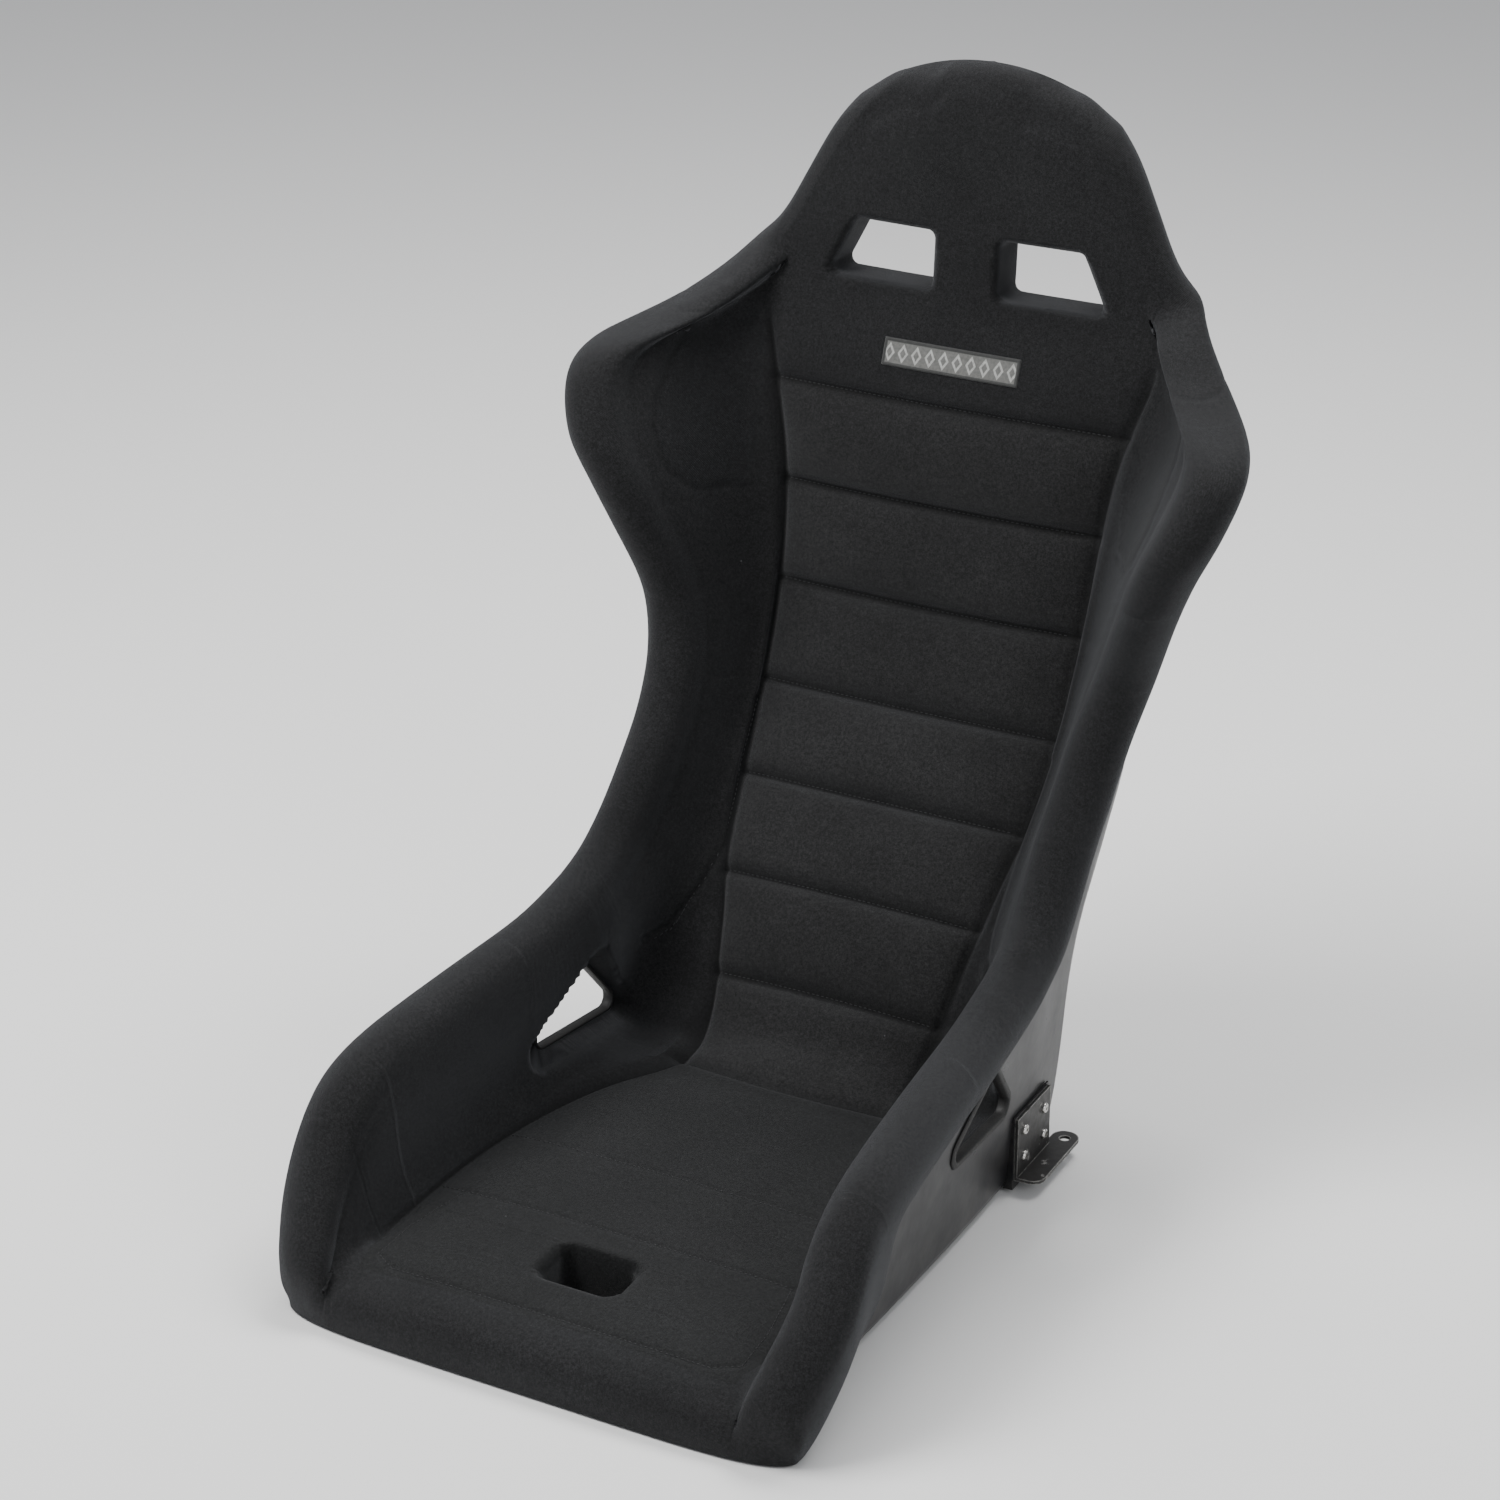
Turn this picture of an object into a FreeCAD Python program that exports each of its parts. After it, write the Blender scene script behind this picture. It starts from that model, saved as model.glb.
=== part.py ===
"""Fixed-back racing bucket seat: one moulded shell, glued-on foam pads, edge trims and steel side mounts.

Axes while modelling: X across the seat, -Y to the front, Z up, the shell's flat underside at Z = 0.
Every sub-part is then placed by the sheet's datum_shift, which puts the origin under the seat's middle.
"""
import FreeCAD, Part
import Sketcher
import math
import os
from collections import namedtuple

V = FreeCAD.Vector

doc = FreeCAD.newDocument("RacingSeat")

# ---------------------------------------------------------------- driving dimensions
sheet = doc.addObject("Spreadsheet::Sheet", "Sizes")
SIZES = (
    ("datum_shift", -51),        # moves the whole seat along Y onto its own middle
    ("shell_wall", 4),           # laminate thickness
    ("foam_gap", 0.4),           # clearance between a pad and whatever it is glued to
    ("base_trim", 0.05),         # ground off the moulding so that its base is truly flat
    ("lip_height", 26),          # turned-up front edge of the shell
    ("nose_length", 25),         # front roll, ahead of the shell's front edge
    ("crown_rise", 17),          # roll over the top of the shell
    ("slot_inner_half", 30),     # shoulder-belt slots: distance from the centre line to the near side
    ("slot_top_half", 102),      # ... to the far side, at the top
    ("slot_foot_half", 126),     # ... to the far side, at the foot
    ("slot_foot_height", 660),
    ("slot_top_height", 708),
    ("slot_round", 7),
    ("trim_wall", 2.5),          # thickness of every belt-opening trim
    ("trim_flange", 6),          # how far a lap-opening trim laps onto the shell
    ("crotch_half", 33),
    ("crotch_front", -246),
    ("crotch_rear", -204),
    ("plate_thick", 3),          # side bracket sheet
    ("plate_length", 66),
    ("plate_height", 56),
    ("plate_foot", 12),          # underside of the bracket's flange above the floor
    ("plate_front", 124),
    ("plate_face", 185),         # inner face of the bracket at its front edge, from the centre line
    ("plate_toe", 3),            # degrees the bracket turns inwards towards the rear
    ("plate_round", 6),
    ("flange_reach", 23),
    ("flange_tail", 24),         # how far the flange runs on behind the upright
    ("flange_round", 11),
    ("flange_hole", 9),
    ("flange_hole_out", 12),     # mounting hole from the upright's inner face
    ("flange_hole_aft", 78),     # mounting hole behind the bracket's front edge
    ("bolt_pitch_y", 40),
    ("bolt_pitch_z", 24),
    ("bolt_first_y", 12),        # first bolt behind the bracket's front edge
    ("bolt_first_z", 18),        # first bolt above the flange's underside
    ("bolt_dia", 5),
    ("bolt_hole", 5.4),
    ("bolt_head_dia", 9),
    ("bolt_head_high", 2.8),
    ("bolt_length", 20),
    ("backing_thick", 2),
    ("nut_across", 8),
    ("nut_thick", 4),
    ("insert_dia", 14),          # threaded mounting inserts in the shell floor
    ("insert_bore", 8),
    ("insert_high", 12),
    ("insert_flange", 30),
    ("insert_flange_thick", 2.5),
    ("insert_spread", 145),
    ("insert_y", -150),
    ("patch_width", 124),
    ("patch_height", 27),
    ("patch_thick", 1.6),
)
for row, (alias, value) in enumerate(SIZES, start=1):
    sheet.set("A%d" % row, alias)
    sheet.set("B%d" % row, str(value))
    sheet.setAlias("B%d" % row, alias)
doc.recompute()


def size(alias):
    return float(sheet.get(alias))


WALL = size("shell_wall")
GAP = size("foam_gap")
SHIFT = V(0, size("datum_shift"), -size("base_trim"))  # the trimmed base comes to Z = 0

# ---------------------------------------------------------------- ribs
# The bucket is drawn like a boat hull, on ribs from the front edge over the hips to the head.
# Each rib runs from the shell's outer face on the centre line (spine) to the shell's edge (rim).
#   floor / rim_half: half-widths of the shell's outer face at the spine and at the edge
#   corner: outer radius between floor and wall      pad: depth of the centre pad along the rib
#   seam: half-width of the centre pad               roll: radius of the padded edge
#   hollow: how far the side pad's inner face curves in towards the wall, as a share of its width
Rib = namedtuple("Rib", "spine_y spine_z rim_y rim_z floor rim_half corner pad seam roll hollow")
RIBS = (
    Rib(-300, 0, -300, 50, 186, 211, 12, 38, 172, 24, 0.05),
    Rib(-262, 0, -264, 92, 187, 223, 13, 45, 174, 26, 0.06),
    Rib(-205, 0, -212, 148, 188, 221, 14, 50, 174, 26, 0.07),
    Rib(-92, 0, -92, 168, 187, 209, 14, 56, 168, 25, 0.10),
    Rib(20, 0, 10, 178, 184, 200, 14, 62, 138, 24, 0.22),
    Rib(95, 0, 62, 189, 180, 197, 14, 66, 98, 24, 0.40),
    Rib(145, 0, 92, 198, 177, 196, 16, 90, 98, 24, 0.42),
    Rib(204, 4, 115, 209, 174, 195, 20, 138, 106, 24, 0.28),
    Rib(234, 50, 135, 222, 172, 195, 26, 132, 112, 24, 0.18),
    Rib(247, 120, 150, 236, 174, 194, 30, 98, 119, 24, 0.14),
    Rib(266, 175, 168, 256, 176, 193, 34, 78, 124, 24, 0.12),
    Rib(302, 230, 190, 284, 178, 192, 38, 73, 130, 24, 0.10),
    Rib(336, 288, 214, 314, 180, 193, 40, 71, 135, 24, 0.10),
    Rib(354, 350, 238, 358, 187, 197, 42, 60, 138, 24, 0.10),
    Rib(365, 415, 252, 408, 205, 210, 46, 50, 140, 24, 0.10),
    Rib(372, 475, 240, 462, 224, 230, 54, 45, 143, 24, 0.11),
    Rib(377, 520, 231, 508, 234, 249, 60, 43, 148, 25, 0.12),
    Rib(382, 560, 232, 548, 244, 268, 62, 44, 156, 26, 0.13),
    Rib(389, 606, 262, 598, 240, 272, 60, 38, 170, 26, 0.13),
    Rib(394, 652, 332, 634, 196, 226, 30, 28, 182, 23, 0.08),
    Rib(398, 692, 388.5, 690, 160, 168, 7, 25, 146, 19, 0.05),
    Rib(404, 740, 394.5, 738.5, 133, 141, 7, 25, 118, 18, 0.05),
    Rib(411, 786, 401.5, 784.5, 108, 116, 7, 25, 94, 18, 0.05),
    Rib(417, 820, 407.5, 818.5, 78, 86, 7, 25, 66, 17, 0.05),
)
LAST = len(RIBS) - 1
HIP = 5        # rib where the seat cushion meets the back insert
WAIST = 7      # rib where the thigh bolsters meet the torso bolsters
CHEST = 15     # rib where the torso bolsters meet the shoulder pads
INSERT_TOP = 17.33  # rib place of the back insert's top edge
NOTCH = 19     # rib at the notch between shoulder wing and head


def rib_at(place):
    """The rib at a fractional index, on a Catmull-Rom curve through the drawn ribs."""
    place = min(max(place, 0), LAST)
    start = min(int(place), LAST - 1)
    t = place - start
    before, first = RIBS[max(start - 1, 0)], RIBS[start]
    second, after = RIBS[start + 1], RIBS[min(start + 2, LAST)]
    fields = []
    for a, b, c, d in zip(before, first, second, after):
        cubic = -a + 3 * b - 3 * c + d
        square = 2 * a - 5 * b + 4 * c - d
        fields.append(0.5 * (((cubic * t + square) * t + c - a) * t + 2 * b))
    rib = Rib(*fields)
    return rib._replace(spine_z=max(rib.spine_z, 0))


def reach(rib):
    """Length of the rib, from the spine to the shell's edge."""
    return math.hypot(rib.rim_y - rib.spine_y, rib.rim_z - rib.spine_z)


def on_rib(rib, x, high):
    """A point of the rib's plane: x across, high along the rib from the spine."""
    share = high / reach(rib)
    y = rib.spine_y + (rib.rim_y - rib.spine_y) * share
    z = rib.spine_z + (rib.rim_z - rib.spine_z) * share
    return V(x, y, z)


def wall_x(rib, high, inset):
    """Half-width of the shell's wall at a height, measured inset millimetres inside its outer face."""
    lean = (rib.rim_half - rib.floor) / reach(rib)
    return rib.floor + lean * high - inset * math.hypot(1, lean)


def corner_points(rib, inset, steps):
    """Points round the floor-to-wall corner, from the floor up, for a face inset from the outer one."""
    turn = math.atan2(reach(rib), rib.rim_half - rib.floor)
    centre_x = rib.floor - rib.corner * math.tan(turn / 2)
    radius = rib.corner - inset
    points = []
    for step in range(steps + 1):
        angle = turn * step / steps
        points.append((centre_x + radius * math.sin(angle), rib.corner - radius * math.cos(angle)))
    return points


def loft(sections):
    """One solid through closed wires."""
    solid = Part.makeLoft(sections, True, False, False)
    if solid.Volume < 0:
        solid.reverse()
    return solid


def places(start, end, inset=0.012, step=0.5):
    """Rib places from start to end, both kept just inside, so that neighbouring pads don't touch."""
    count = max(int(round((end - start) / step)), 1)
    spread = [start + (end - start) * i / count for i in range(count + 1)]
    spread[0] += inset
    spread[-1] -= inset
    return spread


def polygon(rib, outline):
    """A closed wire in the rib's plane through (x, high) points."""
    points = [on_rib(rib, x, high) for x, high in outline]
    return Part.makePolygon(points + points[:1])


def mirrored(shape):
    return shape.mirror(V(0, 0, 0), V(1, 0, 0))


def feature(label, shape):
    """A sub-part whose shape is not one of the workbench's own solids."""
    item = doc.addObject("Part::Feature", label)
    item.Label = label
    item.Shape = shape
    item.Placement = FreeCAD.Placement(SHIFT, FreeCAD.Rotation()).multiply(shape.Placement)
    return item


def prism_x(outline, round_off, x_from, x_to):
    """A prism along X through (y, z) points, with its long edges rounded."""
    points = [V(x_from, y, z) for y, z in outline]
    solid = Part.Face(Part.makePolygon(points + points[:1])).extrude(V(x_to - x_from, 0, 0))
    long_edges = [edge for edge in solid.Edges if abs(edge.tangentAt(edge.FirstParameter).x) > 0.9]
    return solid.makeFillet(round_off, long_edges)


def prism_y(outline, round_off, y_from, y_to):
    """A prism along Y through (x, z) points, with its long edges rounded."""
    points = [V(x, y_from, z) for x, z in outline]
    solid = Part.Face(Part.makePolygon(points + points[:1])).extrude(V(0, y_to - y_from, 0))
    long_edges = [edge for edge in solid.Edges if abs(edge.tangentAt(edge.FirstParameter).y) > 0.9]
    return solid.makeFillet(round_off, long_edges)


def grown(outline, margin):
    """A convex outline with every side moved outwards by the margin."""
    count = len(outline)
    area = sum(outline[i - 1][0] * outline[i][1] - outline[i][0] * outline[i - 1][1] for i in range(count))
    turn = 1 if area > 0 else -1
    result = []
    for i in range(count):
        (ax, ay), (bx, by), (cx, cy) = outline[i - 1], outline[i], outline[(i + 1) % count]
        first = V(by - ay, ax - bx, 0).normalize() * turn
        second = V(cy - by, bx - cx, 0).normalize() * turn
        mitre = (first + second) * (margin / (1 + first.dot(second)))
        result.append((bx + mitre.x, by + mitre.y))
    return result


# ---------------------------------------------------------------- belt openings
SLOT = (
    (size("slot_inner_half"), size("slot_foot_height")),
    (size("slot_foot_half"), size("slot_foot_height")),
    (size("slot_top_half"), size("slot_top_height")),
    (size("slot_inner_half"), size("slot_top_height")),
)
LAP = ((-24, 92), (112, 86), (67, 141))
CROTCH = (
    (-size("crotch_half"), size("crotch_front")),
    (size("crotch_half"), size("crotch_front")),
    (size("crotch_half"), size("crotch_rear")),
    (-size("crotch_half"), size("crotch_rear")),
)
SLOT_ROUND = size("slot_round")
LAP_ROUND = 8
TRIM = size("trim_wall")
SLIT = 0.2                  # between the foam blocks of one pad
LAP_SLITS = (-10, 67, 100)  # from the lap opening's ends and from its apex
LAP_LEVEL = 89              # of the slit along the foot of the lap opening


def slot_cutter(margin):
    outline = grown(SLOT, margin)
    right = prism_y(outline, SLOT_ROUND + margin, 330, 440)
    return [right, mirrored(right)]


def lap_cutter(margin):
    right = prism_x(grown(LAP, margin), LAP_ROUND + margin, 140, 240)
    return [right, mirrored(right)]


def crotch_cutter(margin):
    points = [V(x, y, -5) for x, y in grown(CROTCH, margin)]
    solid = Part.Face(Part.makePolygon(points + points[:1])).extrude(V(0, 0, 85))
    upright = [edge for edge in solid.Edges if abs(edge.tangentAt(edge.FirstParameter).z) > 0.9]
    return solid.makeFillet(9 + margin, upright)


# ---------------------------------------------------------------- shell
def shell_section(rib):
    """Closed U-shaped wire: outer face, edge, inner face, edge."""
    outer = corner_points(rib, 0, 2)
    inner = corner_points(rib, WALL, 2)
    top = reach(rib)
    rim_out = (rib.rim_half, top)
    rim_in = (wall_x(rib, top, WALL), top)

    def spot(pair, side=1):
        return on_rib(rib, side * pair[0], pair[1])

    edges = [
        Part.LineSegment(spot(outer[0], -1), spot(outer[0])),
        Part.Arc(spot(outer[0]), spot(outer[1]), spot(outer[2])),
        Part.LineSegment(spot(outer[2]), spot(rim_out)),
        Part.LineSegment(spot(rim_out), spot(rim_in)),
        Part.LineSegment(spot(rim_in), spot(inner[2])),
        Part.Arc(spot(inner[2]), spot(inner[1]), spot(inner[0])),
        Part.LineSegment(spot(inner[0]), spot(inner[0], -1)),
        Part.Arc(spot(inner[0], -1), spot(inner[1], -1), spot(inner[2], -1)),
        Part.LineSegment(spot(inner[2], -1), spot(rim_in, -1)),
        Part.LineSegment(spot(rim_in, -1), spot(rim_out, -1)),
        Part.LineSegment(spot(rim_out, -1), spot(outer[2], -1)),
        Part.Arc(spot(outer[2], -1), spot(outer[1], -1), spot(outer[0], -1)),
    ]
    return Part.Wire([edge.toShape() for edge in edges])


bucket = loft([shell_section(rib_at(place)) for place in places(0, LAST, 0)])
front = RIBS[0]
lip = Part.makeBox(2 * front.floor - 20, WALL, size("lip_height"), V(10 - front.floor, front.spine_y, 0))
insert_places = [(side * size("insert_spread"), size("insert_y")) for side in (-1, 1)]

# Flat bosses for the side brackets, moulded on the outside of the wall; local axes as for a bracket:
# x out of the seat, y back from the bracket's front edge, z up from the flange's underside.
FACE = V(size("plate_face"), size("plate_front"), size("plate_foot"))
TOE = FreeCAD.Rotation(V(0, 0, 1), size("plate_toe"))
SEATED = FreeCAD.Placement(FACE, TOE)
bolt_places = [
    (size("bolt_first_y") + column * size("bolt_pitch_y"), size("bolt_first_z") + row * size("bolt_pitch_z"))
    for column in range(2)
    for row in range(2)
]


def seated(shape):
    """A right-hand shape moved from the bracket's axes onto the seat."""
    moved = shape.copy()
    moved.Placement = SEATED.multiply(shape.Placement)
    return moved


# A boss stands against the bracket's inner face, is deeper at its foot than at its head,
# and runs past the bracket by a margin at both ends.
BOSS_LOW = -8
BOSS_HIGH = size("plate_height") + 2
BOSS_HEAD = 1.5
BOSS_FOOT = 8.1
BOSS_MARGIN = 2
boss_points = [
    V(x, -BOSS_MARGIN, z)
    for x, z in ((0, BOSS_LOW), (0, BOSS_HIGH), (-BOSS_HEAD, BOSS_HIGH), (-BOSS_FOOT, BOSS_LOW))
]
boss_face = Part.Face(Part.makePolygon(boss_points + boss_points[:1]))
boss = boss_face.extrude(V(0, size("plate_length") + 2 * BOSS_MARGIN, 0))
bosses = [seated(boss), mirrored(seated(boss))]
bolt_holes = [
    seated(Part.makeCylinder(size("bolt_hole") / 2, 50, V(-30, y, z), V(1, 0, 0))) for y, z in bolt_places
]
insert_holes = [
    Part.makeCylinder(size("insert_dia") / 2 + GAP / 2, 3 * WALL, V(x, y, -WALL)) for x, y in insert_places
]
shell_shape = bucket.fuse([lip] + bosses).removeSplitter()
openings = slot_cutter(TRIM) + lap_cutter(TRIM) + [crotch_cutter(TRIM)]
drillings = bolt_holes + [mirrored(hole) for hole in bolt_holes] + insert_holes
below_floor = Part.makeBox(800, 800, 10, V(-400, -400, size("base_trim") - 10))
shell_shape = shell_shape.cut(openings + drillings).cut(below_floor)
feature("shell", shell_shape.Solids[0])

# ---------------------------------------------------------------- foam pads
def seam_foot(rib):
    """Half-width of the centre pad where it lies on the shell floor, short of the corner."""
    return min(rib.seam, corner_points(rib, WALL + GAP, 1)[0][0] - 4)


def centre_outline(rib):
    """Centre pad: flat underneath, slightly crowned on top."""
    low = WALL + GAP
    foot = seam_foot(rib) - GAP
    edge = rib.seam - GAP
    crown = ((0.5 * edge, rib.pad + 3), (0, rib.pad + 4), (-0.5 * edge, rib.pad + 3))
    return [(-foot, low), (foot, low), (edge, rib.pad), *crown, (-edge, rib.pad)]


def roll_centre(rib):
    return rib.rim_half - 2, reach(rib)


def roll_points(rib, angles):
    """Points on the padded edge, by angle from straight out (0) over the top (90) to inboard (180)."""
    x, high = roll_centre(rib)
    return [
        (x + rib.roll * math.cos(math.radians(a)), high + rib.roll * math.sin(math.radians(a)))
        for a in angles
    ]


def wrap_points(rib):
    """The padded edge from its outer foot, round the shell's edge and down the wall's inner face."""
    top = reach(rib)
    foot = top - 1.15 * rib.roll
    return [
        (wall_x(rib, foot, -GAP - 1), foot),
        (wall_x(rib, top, -GAP), top + GAP),
        (wall_x(rib, top, WALL + GAP), top + GAP),
    ]


def side_outline(rib):
    """Side pad: valley seam, hollow inner wall, roll over the shell's edge, back down the shell's wall."""
    valley = (rib.seam + GAP, rib.pad)
    roll_in = roll_points(rib, (190,))[0]
    across, up = roll_in[0] - valley[0], roll_in[1] - valley[1]
    inner_wall = [
        (valley[0] + across * t + up * rib.hollow * bow, valley[1] + up * t - across * rib.hollow * bow)
        for t, bow in ((0.35, 1), (0.7, 0.45))
    ]
    corner = corner_points(rib, WALL + GAP, 2)
    down = [corner[2], corner[1], corner[0]]
    return [
        (seam_foot(rib) + GAP, WALL + GAP),
        valley,
        *inner_wall,
        roll_in,
        *roll_points(rib, (150, 110, 70, 30, -10, -45)),
        *wrap_points(rib),
        *down,
    ]


def head_outline(rib):
    """Head pad: plain front, both padded edges, and the shell's inner face behind."""
    right = [
        (0.55 * rib.seam, rib.pad - 1),
        (rib.seam, rib.pad + 1),
        *roll_points(rib, (150, 110, 70, 30, -10, -45)),
        *wrap_points(rib),
        *reversed(corner_points(rib, WALL + GAP, 2)),
    ]
    left = [(-x, high) for x, high in reversed(right)]
    return right + left


def neck_outline(rib):
    """The head pad's tongue between the shoulder pads, down to the back insert."""
    low = WALL + GAP
    foot = seam_foot(rib) - GAP
    edge = rib.seam - GAP
    return [(-foot, low), (foot, low), (edge, rib.pad), (-edge, rib.pad)]


def pad(outline, start, end):
    ribs = [rib_at(place) for place in places(start, end)]
    return loft([polygon(rib, outline(rib)) for rib in ribs])


def one_solid(shape):
    """The largest solid of a shape, for a cut that may leave crumbs."""
    return max(shape.Solids, key=lambda solid: solid.Volume)


insert_pockets = [
    Part.makeCylinder(size("insert_flange") / 2 + 1, size("insert_high") + 2, V(x, y, -1))
    for x, y in insert_places
]
nut_pocket = seated(Part.makeBox(16, size("plate_length") + 4, size("plate_height") - 4, V(-19, -2, 4)))

lip_pocket = Part.makeBox(
    2 * front.floor, 1 + WALL + GAP, 1 + size("lip_height") + GAP, V(-front.floor, front.spine_y - 1, -1)
)


def in_blocks(shape, slits):
    """Foam blocks of a pad that thin slits part at its opening, so that each block is a plain bulky form."""
    parted = shape.cut(slits)
    return Part.makeCompound([solid for solid in parted.Solids if solid.Volume > 1000])


def slit(low, high):
    return Part.makeBox(*(high - low), low)


cushion = pad(centre_outline, 0, HIP)
cushion = one_solid(cushion.cut([crotch_cutter(TRIM), lip_pocket] + insert_pockets))
crotch_side = size("crotch_half") + TRIM
cushion_slits = [
    slit(V(x - SLIT / 2, -400, -10), V(x + SLIT / 2, 200, 200)) for x in (crotch_side, -crotch_side)
]
feature("seat_cushion", in_blocks(cushion, cushion_slits))
feature("back_insert", pad(centre_outline, HIP, INSERT_TOP))

thigh = pad(side_outline, 0, WAIST)
thigh = one_solid(thigh.cut([lap_cutter(TRIM)[0], nut_pocket, lip_pocket] + insert_pockets))
thigh_slits = [slit(V(0, y - SLIT / 2, -10), V(300, y + SLIT / 2, 400)) for y in LAP_SLITS]
under = V(0, LAP_SLITS[0], LAP_LEVEL - SLIT / 2)
thigh_slits.append(slit(under, V(300, LAP_SLITS[-1], LAP_LEVEL + SLIT / 2)))
thigh = in_blocks(thigh, thigh_slits)
torso = one_solid(pad(side_outline, WAIST, CHEST).cut(nut_pocket))
shoulder = pad(side_outline, CHEST, NOTCH)
for name, right_side in (("thigh_bolster", thigh), ("torso_bolster", torso), ("shoulder_pad", shoulder)):
    feature(name + "_right", right_side)
    feature(name + "_left", mirrored(right_side))

crown = pad(head_outline, NOTCH, LAST).cut(slot_cutter(TRIM))
feature("head_pad", one_solid(crown))
feature("neck_pad", pad(neck_outline, INSERT_TOP, NOTCH))


def crown_section(share):
    """Cross-section of the roll over the top of the head; share runs from 0 at the last rib to 1 on top."""
    rib = RIBS[LAST]
    right = [(rib.seam, rib.pad), *roll_points(rib, (150, 110, 70, 30, -10)), (rib.floor - 4, 0)]
    outline = right + [(-x, high) for x, high in reversed(right)]
    middle = 0.5 * rib.pad
    shrink = math.sqrt(1 - (0.85 * share) ** 2)
    width = 1 - 0.3 * share ** 2
    rise = V(0, 0.13, 0.99) * (GAP + size("crown_rise") * share)
    points = [on_rib(rib, x * width, middle + (high - middle) * shrink) + rise for x, high in outline]
    return Part.makePolygon(points + points[:1])


feature("crown_roll", loft([crown_section(share) for share in (0, 0.4, 0.75, 1)]))


def nose_outline(share):
    """Cross-section of the front roll; share runs from 0 at the shell's edge to 1 at the tip."""
    rib = RIBS[0]
    flat = size("lip_height") + 14
    shrink = math.sqrt(1 - (0.86 * share) ** 2)
    middle = 0.5 * flat
    width = 1 - 0.06 * share ** 2
    right = [
        (rib.floor - 12, 0),
        (rib.rim_half + 10, 14),
        (rib.rim_half + 18, 44),
        (rib.rim_half, 66),
        (rib.seam, flat),
        (0.5 * rib.seam, flat + 2),
    ]
    outline = right + [(-x, z) for x, z in reversed(right)]
    return [(x * width, middle + (z - middle) * shrink) for x, z in outline]


def nose_section(share):
    y = RIBS[0].spine_y - GAP - size("nose_length") * share
    points = [V(x, y, z) for x, z in nose_outline(share)]
    return Part.makePolygon(points + points[:1])


feature("front_roll", loft([nose_section(share) for share in (0, 0.4, 0.75, 1)]).cut(below_floor))


# ---------------------------------------------------------------- shoulder panels
def panel_outline(rib, share):
    """Thin panel on the hollow inner face of the shoulder pad; share is how far out it reaches."""
    face = side_outline(rib)[1:5]
    inside = face[0]
    skin = []
    for t in (0.08, 0.36, 0.68, 0.95):
        along = t * share * (len(face) - 1)
        index = min(int(along), len(face) - 2)
        part = along - index
        first, second = face[index], face[index + 1]
        skin.append((first[0] + (second[0] - first[0]) * part, first[1] + (second[1] - first[1]) * part))
    lift = 0.8
    thick = 2.4
    across, up = skin[-1][0] - inside[0], skin[-1][1] - inside[1]
    length = math.hypot(across, up)
    normal = (-up / length, across / length)
    under = [(x + normal[0] * lift, high + normal[1] * lift) for x, high in skin]
    over = [(x + normal[0] * (lift + thick), high + normal[1] * (lift + thick)) for x, high in skin]
    return under + over[::-1]


panel_places = (15.3, 16, 17, 18, 18.6)
panel_middle = 0.5 * (panel_places[0] + panel_places[-1])
panel_half = panel_places[-1] - panel_middle
panel_wires = []
for place in panel_places:
    bulge = math.sqrt(1 - 0.75 * ((place - panel_middle) / panel_half) ** 2)
    rib = rib_at(place)
    panel_wires.append(polygon(rib, panel_outline(rib, 0.85 * bulge)))
panel = loft(panel_wires)
feature("shoulder_panel_right", panel)
feature("shoulder_panel_left", mirrored(panel))


# ---------------------------------------------------------------- belt-opening trims
def proud_outline(rib):
    """The side wall's full thickness at a lap opening, standing a little proud on both faces."""
    proud = 1.5
    face = side_outline(rib)[1:5]
    inner = [(x - proud, high) for x, high in face]
    outer = [(wall_x(rib, high, -proud), high) for high in (inner[-1][1], inner[0][1])]
    return inner + outer


def flange_outline(rib):
    """The skin of the shell's outer face that a lap trim's flange covers."""
    top = reach(rib)
    low, high = 0.25 * top, 0.98 * top
    near, far = -0.1, -1.6
    return [(wall_x(rib, low, near), low), (wall_x(rib, low, far), low),
            (wall_x(rib, high, far), high), (wall_x(rib, high, near), high)]


FIT = TRIM - 0.3
lap_zone = loft([polygon(rib, proud_outline(rib)) for rib in RIBS[3:10]])
lap_skin = loft([polygon(rib, flange_outline(rib)) for rib in RIBS[3:10]])
lap_ring = lap_cutter(FIT)[0].cut(lap_cutter(0)[0]).common(lap_zone)
lap_flange = lap_cutter(size("trim_flange"))[0].cut(lap_cutter(0)[0]).common(lap_skin)
lap_trim = one_solid(lap_ring.fuse(lap_flange).removeSplitter())
feature("lap_trim_right", lap_trim)
feature("lap_trim_left", mirrored(lap_trim))

slot_depth = [on_rib(rib, 0, rib.pad + 1.5) for rib in RIBS[18:23]]
slot_depth += [on_rib(rib, 0, -1.5) for rib in reversed(RIBS[18:23])]
slot_zone = prism_x([(point.y, point.z) for point in slot_depth], 0.5, 10, 150)
slot_trim = one_solid(slot_cutter(FIT)[0].cut(slot_cutter(0)[0]).common(slot_zone))
feature("harness_trim_right", slot_trim)
feature("harness_trim_left", mirrored(slot_trim))

crotch_zone = Part.makeBox(120, 120, 54, V(-60, -285, 0.3))
feature("crotch_trim", one_solid(crotch_cutter(FIT).cut(crotch_cutter(0)).common(crotch_zone)))


# ---------------------------------------------------------------- side brackets
def plane_of(body, role):
    return next(item for item in body.Origin.OriginFeatures if item.Role == role)


def sketch_on(body, role, name):
    sketch = body.newObject("Sketcher::SketchObject", name)
    sketch.AttachmentSupport = (plane_of(body, role), [""])
    sketch.MapMode = "FlatFace"
    return sketch


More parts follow.
